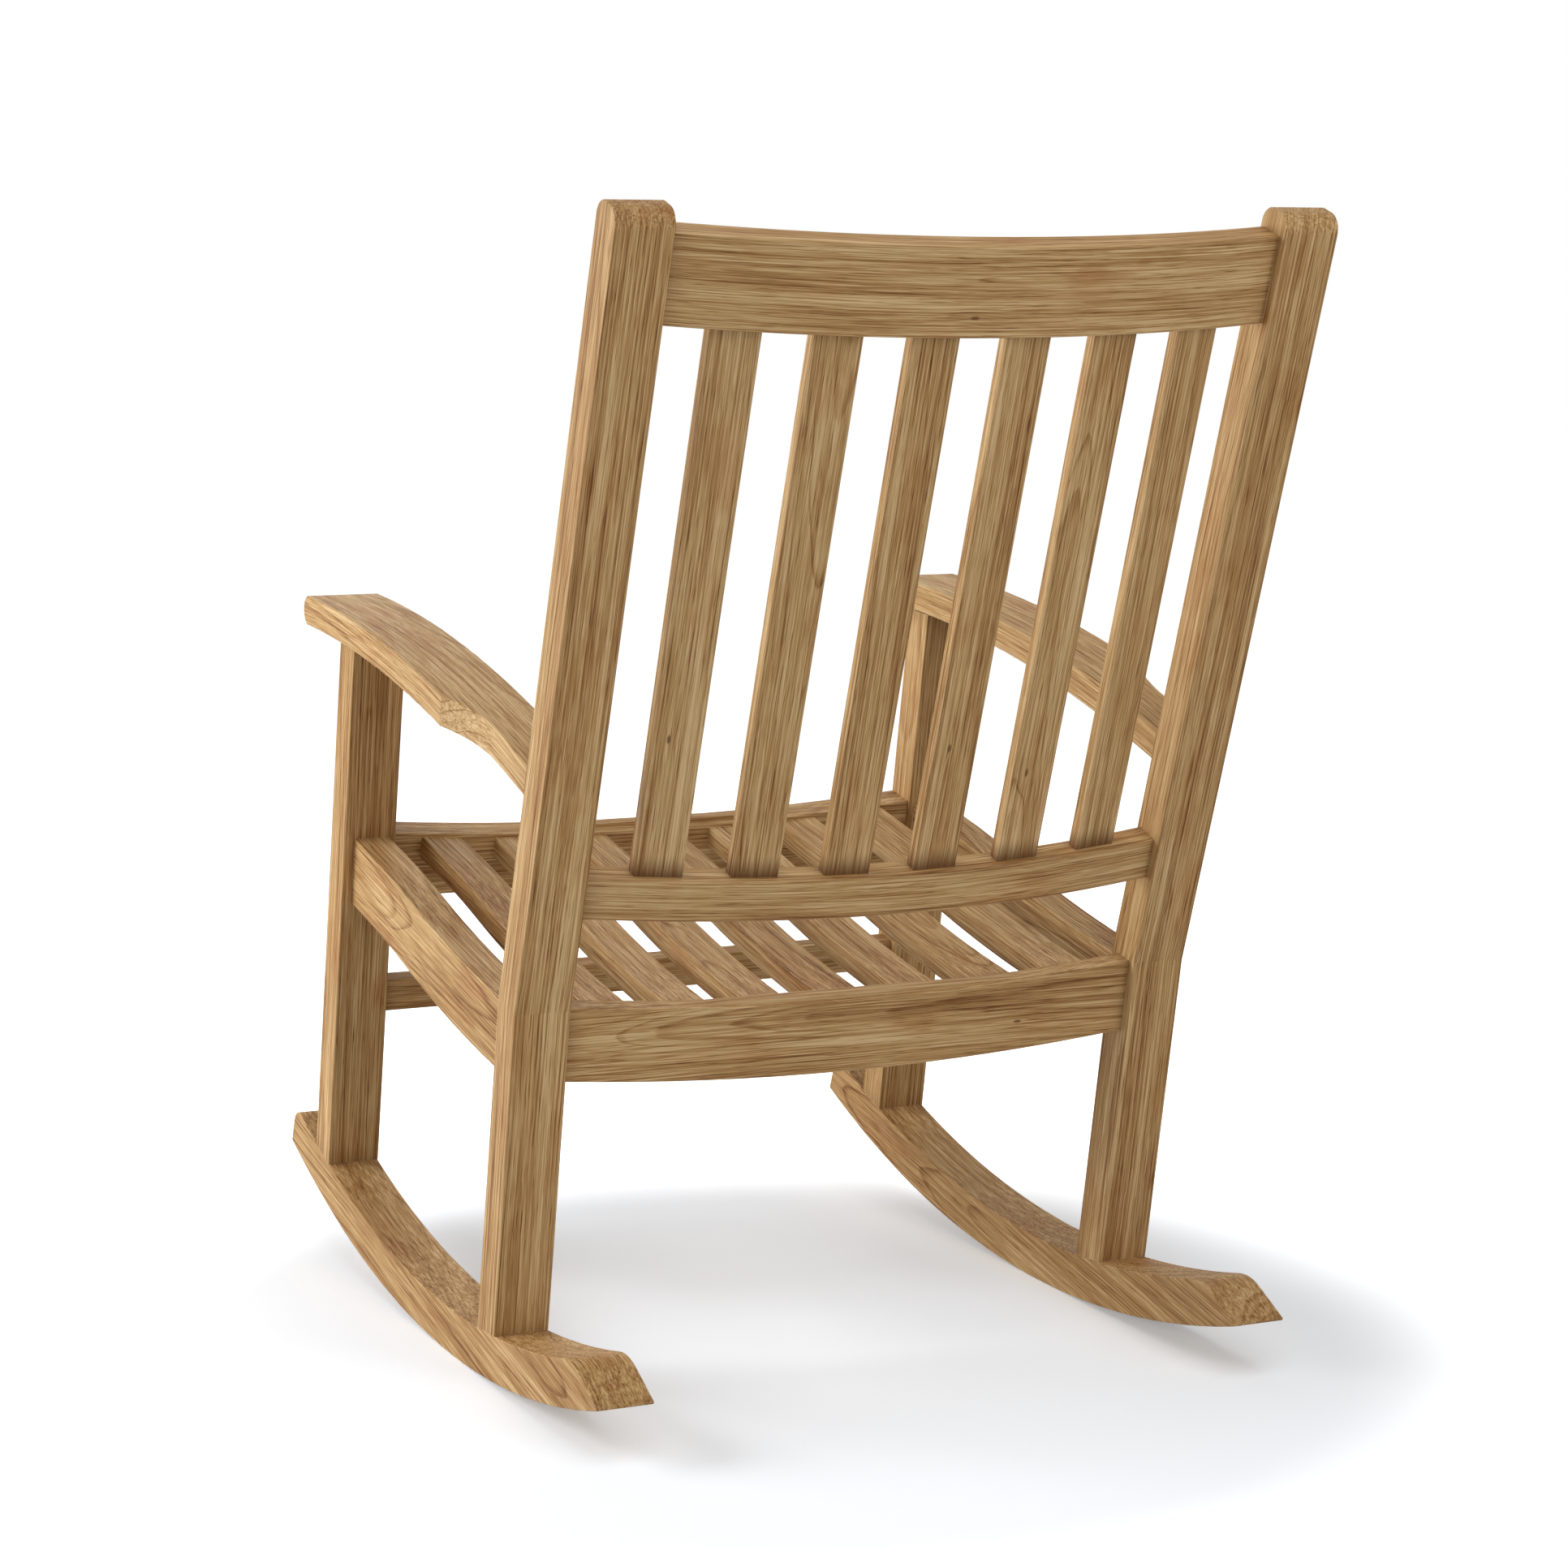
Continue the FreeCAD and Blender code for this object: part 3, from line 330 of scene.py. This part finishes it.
def make_figure() -> bpy.types.NodeTree:
    """Makes the group that draws growth rings, fibres and pores through a plank.

    Returns:
        A group from a place in the plank to masks of its figure.
    """
    group, wiring, given, out = new_group(
        "Wood figure",
        {"Vector": ("Vector", (0, 0, 0)), "Seed": ("Float", 0.0), "Heart Width": ("Float", 0.07),
         "Heart Thickness": ("Float", -0.06), "Taper": ("Float", 0.0), "Ring": ("Float", 0.0031),
         "Sway": ("Float", 0.016), "Knot 1": ("Vector", FAR_KNOT),
         "Knot 2": ("Vector", FAR_KNOT), "Knot Reach": ("Float", 0.006)},
        {"Late Wood": "Float", "Band": "Float", "Streak": "Float", "Fibre": "Float",
         "Pore": "Float", "Knot": "Float", "Mottle": "Float"})
    seed, grain = given["Seed"], Grain()

    def grained(scale: tuple[float, float], detail: float, roughness: float = 0.5,
                seed_step: float = 0.0) -> bpy.types.Node:
        """Adds a noise that is drawn out along the board."""
        stretched = wiring.vector("MULTIPLY", given["Vector"], (scale[0], scale[1], scale[1]))
        own = wiring.math("ADD", seed, seed_step) if seed_step else seed
        return wiring.noise(stretched, own, detail, roughness)

    def by_ring(ring: bpy.types.NodeSocket, ring_scale: float, along_scale: float, detail: float,
                roughness: float = 0.5) -> bpy.types.NodeSocket:
        """Adds a noise that changes from ring to ring, and slowly along the board."""
        lengthwise = wiring.math("MULTIPLY", along, along_scale) if along_scale else 0.0
        place = wiring.node("CombineXYZ", X=wiring.math("MULTIPLY", ring, ring_scale),
                            Y=lengthwise, Z=0.0)
        return wiring.noise(place.outputs[0], seed, detail, roughness).outputs["Fac"]

    def centred(socket: bpy.types.NodeSocket, width: Number) -> bpy.types.NodeSocket:
        """Turns a noise into a swing of a given width about zero."""
        return wiring.math("MULTIPLY", wiring.math("SUBTRACT", socket, 0.5), width)

    along, wide, thick = wiring.node("SeparateXYZ", Vector=given["Vector"]).outputs
    drift = wiring.node("SeparateColor", Color=grained(grain.drift, 2.0).outputs["Color"])
    from_heart = wiring.math("ADD", wiring.math("SUBTRACT", wide, given["Heart Width"]), centred(
        drift.outputs[0], given["Sway"]))
    depth = wiring.math("ADD", wiring.math("SUBTRACT", thick, given["Heart Thickness"]), centred(
        drift.outputs[1], given["Sway"]))
    depth = wiring.math("ADD", depth, wiring.math("MULTIPLY", along, given["Taper"]))
    radius = wiring.math("SQRT", wiring.math("ADD", wiring.math(
        "MULTIPLY", from_heart, from_heart), wiring.math("MULTIPLY", depth, depth)))
    radius, knot = draw_knots(wiring, given, (along, wide), radius)

    # rings of uneven width with ragged edges, each darkening to its late wood and then ending
    rings = wiring.math("DIVIDE", radius, given["Ring"])
    uneven = by_ring(rings, 0.5, 0.0, 1.0)
    rings = wiring.math("ADD", rings, wiring.math("MULTIPLY", uneven, 2.5))
    ragged = grained(grain.ragged, 1.0).outputs["Fac"]
    rings = wiring.math("ADD", rings, centred(ragged, 0.22))
    age = wiring.math("FRACT", rings)
    late = wiring.math("MULTIPLY", wiring.spread(age, 0.58, 0.92),
                       wiring.spread(age, 0.93, 1.0, 1.0, 0.0))
    strength = by_ring(wiring.math("FLOOR", rings), 0.83, 3.0, 1.0)
    late = wiring.math("MULTIPLY", late, wiring.spread(strength, 0.34, 0.66))

    results = {
        "Late Wood": late,
        "Band": wiring.spread(by_ring(rings, 0.30, 1.2, 3.0, 0.6), 0.30, 0.70),
        "Streak": wiring.spread(grained(grain.streak, 3.0, 0.62).outputs["Fac"], 0.30, 0.70),
        "Fibre": wiring.spread(grained(grain.fibre, 3.0, 0.8).outputs["Fac"], 0.28, 0.72),
        "Pore": wiring.spread(grained(
            grain.pore, 1.0, seed_step=5.0).outputs["Fac"], 0.58, 0.72),
        "Knot": knot,
        "Mottle": grained(grain.mottle, 3.0, 0.6, seed_step=9.0).outputs["Fac"]}
    for label, socket in results.items():
        wiring.feed(out.inputs[label], socket)
    return group


def make_highlight_and_shade() -> bpy.types.NodeTree:
    """Makes the group that finds a board's arrises, for a painted highlight, and its ends near a
    joint, for painted shade.

    Returns:
        A group from a place in the board to masks of its edges and ends.
    """
    group, wiring, given, out = new_group(
        "Painted arris highlight and end shade",
        {"Vector": ("Vector", (0, 0, 0)), "Half Length": ("Float", 1.0), "Width": ("Float", 0.0018),
         "End": ("Float", 0.022), "Shift": ("Float", 0.0), "Unevenness": ("Float", 0.5)},
        {"Arris": "Float", "End": "Float"})
    # an arris is where the softened normal turns away from the true one
    softened = wiring.node("Bevel", {"samples": 6}, Radius=given["Width"])
    turned = wiring.node("VectorMath", {"operation": "DOT_PRODUCT"})
    wiring.feed(turned.inputs[0], softened.outputs["Normal"])
    wiring.feed(turned.inputs[1], wiring.node("NewGeometry").outputs["True Normal"])
    arris = wiring.spread(turned.outputs["Value"], 0.80, 0.995, 1.0, 0.0)
    # the painted highlight and the smoother finish along the arrises come and go with the wood's
    # mottle
    patchiness = wiring.spread(given["Unevenness"], 0.30, 0.55, 0.35, 1.0)
    arris = wiring.math("MULTIPLY", arris, patchiness)
    # painted shade: a mask that darkens towards the board's ends
    along = wiring.node("SeparateXYZ", Vector=given["Vector"]).outputs[0]
    along = wiring.math("ABSOLUTE", wiring.math("SUBTRACT", along, given["Shift"]))
    inside = wiring.math("SUBTRACT", given["Half Length"], along)
    inside = wiring.math("DIVIDE", inside, given["End"])
    end = wiring.spread(inside, 0.0, 1.0, 1.0, 0.0)
    for label, socket in (("Arris", arris), ("End", end)):
        wiring.feed(out.inputs[label], socket)
    return group


# ------------------------------------------------------------------ finishes

@dataclass(frozen=True)
class Timber:
    """Fine sanded hardwood: its colours, from pale to dark, and its surface."""

    name: str
    pale: tuple[float, float, float, float] = paint(220, 187, 139)
    body: tuple[float, float, float, float] = paint(187, 149, 97)
    dark: tuple[float, float, float, float] = paint(140, 96, 53)
    line: tuple[float, float, float, float] = paint(92, 55, 27)
    russet: tuple[float, float, float, float] = paint(222, 180, 140)
    base_tone: float = 0.32
    band: float = 0.28
    late_wood: float = 0.29
    streak: float = 0.22
    fibre: float = 0.68
    pore: float = 0.30
    russet_share: float = 0.45
    knot_share: float = 0.75
    # how far the arrises are painted towards the pale colour, as a painted highlight
    arris_painted_highlight: float = 0.75
    taper: float = 0.03             # how fast the rings leave the board's face
    roughness: float = 0.58
    fibre_sheen: float = 0.16
    arris_sheen: float = 0.08
    specular: float = 0.15
    relief: float = 0.4
    relief_depth: float = 0.3 * MM

    def colour(self, wiring: Wiring, figure: bpy.types.Node, highlight_and_shade: bpy.types.Node,
               board: Board) -> bpy.types.NodeSocket:
        """Mixes the colour of the wood from its figure, with a painted highlight along its arrises
        and painted shade towards its ends.

        Args:
            wiring: The material's wiring.
            figure: The board's figure group.
            highlight_and_shade: The board's arris and end group.
            board: The board.

        Returns:
            The colour's socket.
        """
        depth = wiring.math("ADD", self.base_tone + board.tone, wiring.math(
            "MULTIPLY", figure.outputs["Late Wood"], self.late_wood))
        for label, share in (("Band", self.band), ("Streak", self.streak), ("Fibre", self.fibre)):
            swing = wiring.math("SUBTRACT", figure.outputs[label], 0.5)
            depth = wiring.math("ADD", depth, wiring.math("MULTIPLY", swing, share))
        depth = wiring.math("ADD", depth, wiring.math(
            "MULTIPLY", figure.outputs["Pore"], self.pore))
        ramp = wiring.node("ValToRGB", Fac=depth)
        stops = ((0.0, self.pale), (0.34, self.body), (0.72, self.dark), (1.0, self.line))
        elements = ramp.color_ramp.elements
        while len(elements) < len(stops):
            elements.new(0.5)
        for element, (place, colour) in zip(elements, stops):
            element.position, element.color = place, colour
        warm = wiring.spread(figure.outputs["Mottle"], 0.52, 0.72, 0.0, self.russet_share)
        colour = wiring.mix(warm, ramp.outputs["Color"], self.russet, "MULTIPLY")
        colour = wiring.mix(wiring.math("MULTIPLY", figure.outputs["Knot"], self.knot_share),
                            colour, self.line)
        # painted highlight: pale colour along the arrises
        colour = wiring.mix(wiring.math("MULTIPLY", highlight_and_shade.outputs["Arris"], self.arris_painted_highlight),
                            colour, self.pale)
        # painted shade: darker towards the ends
        return wiring.mix(wiring.math("MULTIPLY", highlight_and_shade.outputs["End"], board.painted_end_shade),
                          colour, self.line)

    def material(self, board: Board, kit: "Workshop") -> bpy.types.Material:
        """Makes one board's material.

        Args:
            board: The board, already measured.
            kit: The shared node groups.

        Returns:
            A material whose grain runs along the board.
        """
        made = bpy.data.materials.new(f"{self.name}_{board.node}")
        made.use_nodes = True
        tree = made.node_tree
        tree.nodes.clear()
        wiring = Wiring(tree)
        place = wiring.node("TexCoord").outputs["Object"]
        mapping = wiring.node("Mapping", {"vector_type": "TEXTURE"}, Vector=place,
                              Location=tuple(board.centre), Rotation=tuple(board.rotation))
        local = mapping.outputs["Vector"]

        straight = wiring.node("Group", {"node_tree": kit.straightening}, Vector=local)
        for label, value in (("Bend Thickness", board.bend_thickness),
                             ("Kink Place", board.kink_height), ("Kink Slope", board.kink_slope)):
            straight.inputs[label].default_value = value

        figure = wiring.node("Group", {"node_tree": kit.figure}, Vector=straight.outputs[0],
                             Seed=board.seed)
        heart_wide, heart_thick = board.sawing.value
        figure.inputs["Heart Width"].default_value = heart_wide * board.flip
        figure.inputs["Heart Thickness"].default_value = heart_thick
        figure.inputs["Taper"].default_value = self.taper * board.flip
        for label, knot in zip(("Knot 1", "Knot 2"), board.knots):
            figure.inputs[label].default_value = (
                knot[0] * board.half.x, knot[1] * board.half.y, 0)

        highlight_and_shade = wiring.node("Group", {"node_tree": kit.highlight_and_shade}, Vector=local,
                               Unevenness=figure.outputs["Mottle"])
        highlight_and_shade.inputs["Half Length"].default_value = (
            board.half.x - board.tenon + abs(board.end_shift))
        highlight_and_shade.inputs["Shift"].default_value = board.end_shift

        sheen = wiring.math("ADD", self.roughness, wiring.math(
            "MULTIPLY", wiring.math("SUBTRACT", figure.outputs["Fibre"], 0.5), self.fibre_sheen))
        sheen = wiring.math("SUBTRACT", sheen, wiring.math(
            "MULTIPLY", highlight_and_shade.outputs["Arris"], self.arris_sheen))
        relief = wiring.math("SUBTRACT", wiring.math(
            "MULTIPLY", figure.outputs["Fibre"], -0.5), figure.outputs["Pore"])
        relief = wiring.math("SUBTRACT", relief, wiring.math(
            "MULTIPLY", figure.outputs["Late Wood"], 0.25))
        bump = wiring.node("Bump", Strength=self.relief, Distance=self.relief_depth, Height=relief)

        shader = wiring.node(
            "BsdfPrincipled", Base_Color=self.colour(wiring, figure, highlight_and_shade, board),
            Roughness=sheen, Normal=bump.outputs["Normal"])
        shader.inputs["Specular IOR Level"].default_value = self.specular
        surface = wiring.node("OutputMaterial")
        wiring.feed(surface.inputs["Surface"], shader.outputs["BSDF"])
        return made


@dataclass
class Workshop:
    """The node groups that every board's material shares."""

    lean: Lean
    straightening: bpy.types.NodeTree
    figure: bpy.types.NodeTree
    highlight_and_shade: bpy.types.NodeTree

    @classmethod
    def open(cls, lean: Lean) -> "Workshop":
        """Builds the shared node groups once."""
        return cls(lean, make_straightening(), make_figure(), make_highlight_and_shade())

    def dress(self, board: Board, timber: Timber) -> None:
        """Gives one CAD node the timber's finish.

        Args:
            board: The node and how its grain lies.
            timber: The finish.
        """
        board.measure(self.lean)
        material = timber.material(board, self)
        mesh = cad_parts[board.node].data
        for index in range(len(mesh.materials)):
            mesh.materials[index] = material
        if not mesh.materials:
            mesh.materials.append(material)
        length, width, thick = (2 * size / MM for size in board.half)
        LOG.info("%s: %s, %.0f x %.0f x %.0f mm", board.node, timber.name, length, width, thick)


# ------------------------------------------------------------------ sub-assemblies

SIDES = ("left", "right")
HARDWOOD = Timber("hardwood")
PLAIN_END = 0.1     # lighter painted shade at an end that no rail or rocker shades


@dataclass
class Runners:
    """The two rockers, sawn from straight planks."""

    tone: float = 0.05

    def dress(self, kit: Workshop) -> None:
        """Dresses both rockers: their grain runs straight through the curve."""
        for index, side in enumerate(SIDES):
            kit.dress(Board(f"rocker_{side}", Run.DEEP_ON_EDGE, 11.3 + 4.7 * index,
                            Sawing.RIFT, flip=1 - 2 * index, painted_end_shade=PLAIN_END, tone=self.tone),
                      HARDWOOD)


@dataclass
class Uprights:
    """The front legs and the bent rear posts."""

    bend_above_foot: float = 0.3065
    leg_tone: float = 0.06
    post_tone: float = 0.02

    def dress(self, kit: Workshop) -> None:
        """Dresses the legs, and the posts with grain that follows their bend."""
        for index, side in enumerate(SIDES):
            kit.dress(Board(f"front_leg_{side}", Run.UPRIGHT, 23.9 + 3.1 * index, Sawing.QUARTER,
                            flip=1 - 2 * index, tone=self.leg_tone), HARDWOOD)
            post = Board(f"rear_post_{side}", Run.UPRIGHT, 31.7 + 5.9 * index, Sawing.QUARTER,
                         flip=1 - 2 * index, tone=self.post_tone, painted_end_shade=PLAIN_END,
                         kink_slope=math.tan(math.radians(kit.lean.back)))
            post.measure(kit.lean)
            post.kink_height = self.bend_above_foot - post.half.x
            kit.dress(post, HARDWOOD)


@dataclass
class SeatFrame:
    """The four rails round the seat, and the stretcher under it."""

    side_rail_tone: float = 0.04

    def dress(self, kit: Workshop) -> None:
        """Dresses the rails and the stretcher."""
        kit.dress(Board("front_seat_rail", Run.ACROSS, 41.2, Sawing.RIFT,
                        tenon=RAIL_TENON), HARDWOOD)
        kit.dress(Board("rear_seat_rail", Run.ACROSS, 44.8, Sawing.FLAT, tenon=RAIL_TENON,
                        knots=((-0.55, -0.2),)), HARDWOOD)
        kit.dress(Board("front_stretcher", Run.ACROSS, 47.5, Sawing.RIFT, tenon=RAIL_TENON),
                  HARDWOOD)
        for index, side in enumerate(SIDES):
            kit.dress(Board(f"side_seat_rail_{side}", Run.DEEP_ON_EDGE, 52.3 + 2.9 * index,
                            Sawing.FLAT, flip=1 - 2 * index, tenon=RAIL_TENON,
                            tone=self.side_rail_tone),
                      HARDWOOD)


@dataclass
class SeatSlats:
    """The slats of the seat, each from its own plank."""

    count: int = 7
    tone_swing: float = 0.04
    # painted shade at each slat's rear end, under the back
    painted_rear_shade: float = 0.4

    def dress(self, kit: Workshop) -> None:
        """Dresses the slats one by one."""
        cuts = (Sawing.FLAT, Sawing.RIFT, Sawing.QUARTER)
        for number in range(1, self.count + 1):
            tone = self.tone_swing * math.sin(2.4 * number)
            kit.dress(Board(f"seat_slat_{number}", Run.DEEP_FLAT, 60.0 + 3.7 * number,
                            cuts[number % 3], flip=-1 if number % 2 else 1, tone=tone,
                            tenon=SLAT_TENON, painted_end_shade=self.painted_rear_shade,
                            end_shift=-SLAT_TENON), HARDWOOD)


@dataclass
class Back:
    """The bowed crest and lower rail, and the slats between them."""

    bow: float = 1.15
    count: int = 6
    pitch: float = 0.0825
    tone_swing: float = 0.03
    # painted shade at each slat's foot, where it meets the lower rail
    painted_foot_shade: float = 0.75

    def dress(self, kit: Workshop) -> None:
        """Dresses the two rails along their bow, then the slats."""
        lean = kit.lean.back
        kit.dress(Board("crest_rail", Run.ACROSS, 83.1, Sawing.FLAT, extra_lean=lean,
                        bend_thickness=1 / self.bow, tenon=RAIL_TENON,
                        knots=((0.05, -0.55),)), HARDWOOD)
        kit.dress(Board("lower_back_rail", Run.ACROSS, 88.6, Sawing.RIFT, extra_lean=lean,
                        bend_thickness=1 / self.bow, tenon=RAIL_TENON), HARDWOOD)
        cuts = (Sawing.RIFT, Sawing.QUARTER, Sawing.FLAT)
        knots = {1: ((-0.45, 0.3),), 4: ((-0.5, 0.3),), 5: ((-0.62, 0.35),)}
        for number in range(1, self.count + 1):
            place = ((self.count + 1) / 2 - number) * self.pitch
            tone = self.tone_swing * math.sin(1.9 * number + 3.0)
            kit.dress(Board(f"back_slat_{number}", Run.UPRIGHT, 93.0 + 4.3 * number,
                            cuts[number % 3], flip=1 if number % 2 else -1, extra_lean=lean,
                            turn=math.degrees(place / self.bow), tone=tone,
                            tenon=SLAT_TENON, painted_end_shade=self.painted_foot_shade, end_shift=SLAT_TENON,
                            knots=knots.get(number, ())), HARDWOOD)


@dataclass
class Arms:
    """The two arched arms."""

    arch: float = 2.0835
    tone: float = -0.05

    def dress(self, kit: Workshop) -> None:
        """Dresses the arms, their grain following the arch."""
        for index, side in enumerate(SIDES):
            kit.dress(Board(f"arm_{side}", Run.DEEP_FLAT, 131.0 + 6.1 * index, Sawing.RIFT,
                            flip=1 - 2 * index, bend_thickness=-1 / self.arch, painted_end_shade=PLAIN_END,
                            tone=self.tone), HARDWOOD)


@dataclass
class Dowels:
    """The hidden dowels of plainer, paler wood."""

    timber: Timber = Timber("dowel_wood", body=paint(204, 172, 126), pale=paint(220, 190, 146))

    def dress(self, kit: Workshop) -> None:
        """Dresses both sets of dowels."""
        for index, node in enumerate(("rocker_dowels", "arm_dowels")):
            kit.dress(Board(node, Run.UPRIGHT, 151.0 + index, Sawing.QUARTER), self.timber)


# ------------------------------------------------------------------ the studio

@dataclass(frozen=True)
class SoftBox:
    """One large soft square lamp."""

    name: str
    place: tuple[float, float, float]
    target: tuple[float, float, float]
    size: float
    power: float

    def hang(self) -> None:
        """Adds the lamp, facing its target."""
        lamp = bpy.data.lights.new(self.name, "AREA")
        lamp.shape = "RECTANGLE"
        lamp.size = lamp.size_y = self.size
        lamp.energy = self.power
        holder = bpy.data.objects.new(self.name, lamp)
        bpy.context.scene.collection.objects.link(holder)
        holder.location = self.place
        facing = Vector(self.target) - Vector(self.place)
        holder.rotation_euler = facing.to_track_quat("-Z", "Y").to_euler()


@dataclass
class Studio:
    """A white floor, soft light and the camera behind the chair's left shoulder."""

    floor_size: float = 30.0
    floor_paint: tuple[float, float, float, float] = (0.85, 0.89, 0.94, 1.0)
    shadow_middle: tuple[float, float, float] = (0.06, 0.12, 0.0)
    fade_start: float = 0.50
    fade_end: float = 0.76
    floor_lift: float = 0.27
    sky: float = 0.06
    lamps: tuple[SoftBox, ...] = (
        SoftBox("key_light", (2.7, -1.35, 1.4), (0, 0, 0.65), 2.2, 98),
        SoftBox("top_light", (0.2, 1.6, 3.1), (0, 0, 0.4), 3.2, 52),
        SoftBox("rear_light", (-1.4, 3.7, 1.7), (0, 0, 0.7), 2.0, 36),
        SoftBox("front_light", (-0.5, -3.2, 2.2), (0, 0, 0.5), 2.4, 17))
    camera_place: tuple[float, float, float] = (1.3719, 3.0271, 0.9488)
    camera_tilt: float = 82.0877
    camera_roll: float = -0.1925
    camera_heading: float = 155.4256
    lens: float = 85.0
    film: float = 36.0

    def lay_floor(self) -> None:
        """Lays a pale floor that fades to plain white away from the chair."""
        bpy.ops.mesh.primitive_plane_add(size=self.floor_size)
        floor = bpy.context.active_object
        floor.name = "studio_floor"
        material = bpy.data.materials.new("studio_floor")
        material.use_nodes = True
        material.node_tree.nodes.clear()
        wiring = Wiring(material.node_tree)
        place = wiring.node("TexCoord").outputs["Object"]
        away = wiring.node("VectorMath", {"operation": "LENGTH"})
        wiring.feed(away.inputs[0], wiring.vector("SUBTRACT", place, self.shadow_middle))
        fade = wiring.spread(away.outputs["Value"], self.fade_start, self.fade_end,
                             self.floor_lift, 1.0)
        rays = wiring.node("LightPath")
        matt = wiring.node("BsdfDiffuse")
        matt.inputs["Color"].default_value = self.floor_paint
        white = wiring.node("Emission", Strength=wiring.math(
            "MULTIPLY", fade, rays.outputs["Is Camera Ray"]))
        blend = wiring.node("AddShader")
        for index, socket in enumerate((matt.outputs[0], white.outputs[0])):
            wiring.feed(blend.inputs[index], socket)
        surface = wiring.node("OutputMaterial")
        wiring.feed(surface.inputs["Surface"], blend.outputs[0])
        floor.data.materials.append(material)

    def light(self) -> None:
        """Hangs the lamps and sets the surrounding light."""
        for lamp in self.lamps:
            lamp.hang()
        world = bpy.data.worlds.new("studio")
        bpy.context.scene.world = world
        world.use_nodes = True
        world.node_tree.nodes.clear()
        wiring = Wiring(world.node_tree)
        rays = wiring.node("LightPath")
        seen = wiring.math("MAXIMUM", rays.outputs["Is Camera Ray"], wiring.math(
            "MAXIMUM", rays.outputs["Is Glossy Ray"], rays.outputs["Is Transmission Ray"]))
        soft = wiring.node("Background")
        soft.inputs["Strength"].default_value = self.sky
        white = wiring.node("Background")
        for node in (soft, white):
            node.inputs["Color"].default_value = (1, 1, 1, 1)
        blend = wiring.node("MixShader")
        for index, socket in enumerate((seen, soft.outputs[0], white.outputs[0])):
            wiring.feed(blend.inputs[index], socket)
        surface = wiring.node("OutputWorld")
        wiring.feed(surface.inputs["Surface"], blend.outputs[0])

    def place_camera(self) -> None:
        """Stands the camera behind the chair, to the sitter's left."""
        data = bpy.data.cameras.new("camera")
        data.lens, data.sensor_width = self.lens, self.film
        camera = bpy.data.objects.new("camera", data)
        bpy.context.scene.collection.objects.link(camera)
        camera.location = self.camera_place
        camera.rotation_euler = tuple(map(math.radians, (
            self.camera_tilt, self.camera_roll, self.camera_heading)))
        bpy.context.scene.camera = camera

    def build(self) -> None:
        """Sets up the floor, the light and the camera."""
        self.lay_floor()
        self.light()
        self.place_camera()
        bpy.context.scene.view_settings.view_transform = "Standard"


# ------------------------------------------------------------------ the whole scene

def main() -> None:
    """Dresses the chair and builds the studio."""
    logging.basicConfig(level=logging.INFO, format="%(message)s")
    bpy.ops.object.select_all(action="DESELECT")
    kit = Workshop.open(Lean())
    for assembly in (Runners(), Uprights(), SeatFrame(), SeatSlats(), Back(), Arms(), Dowels()):
        assembly.dress(kit)
    Studio().build()


if __name__ == "__main__":
    main()
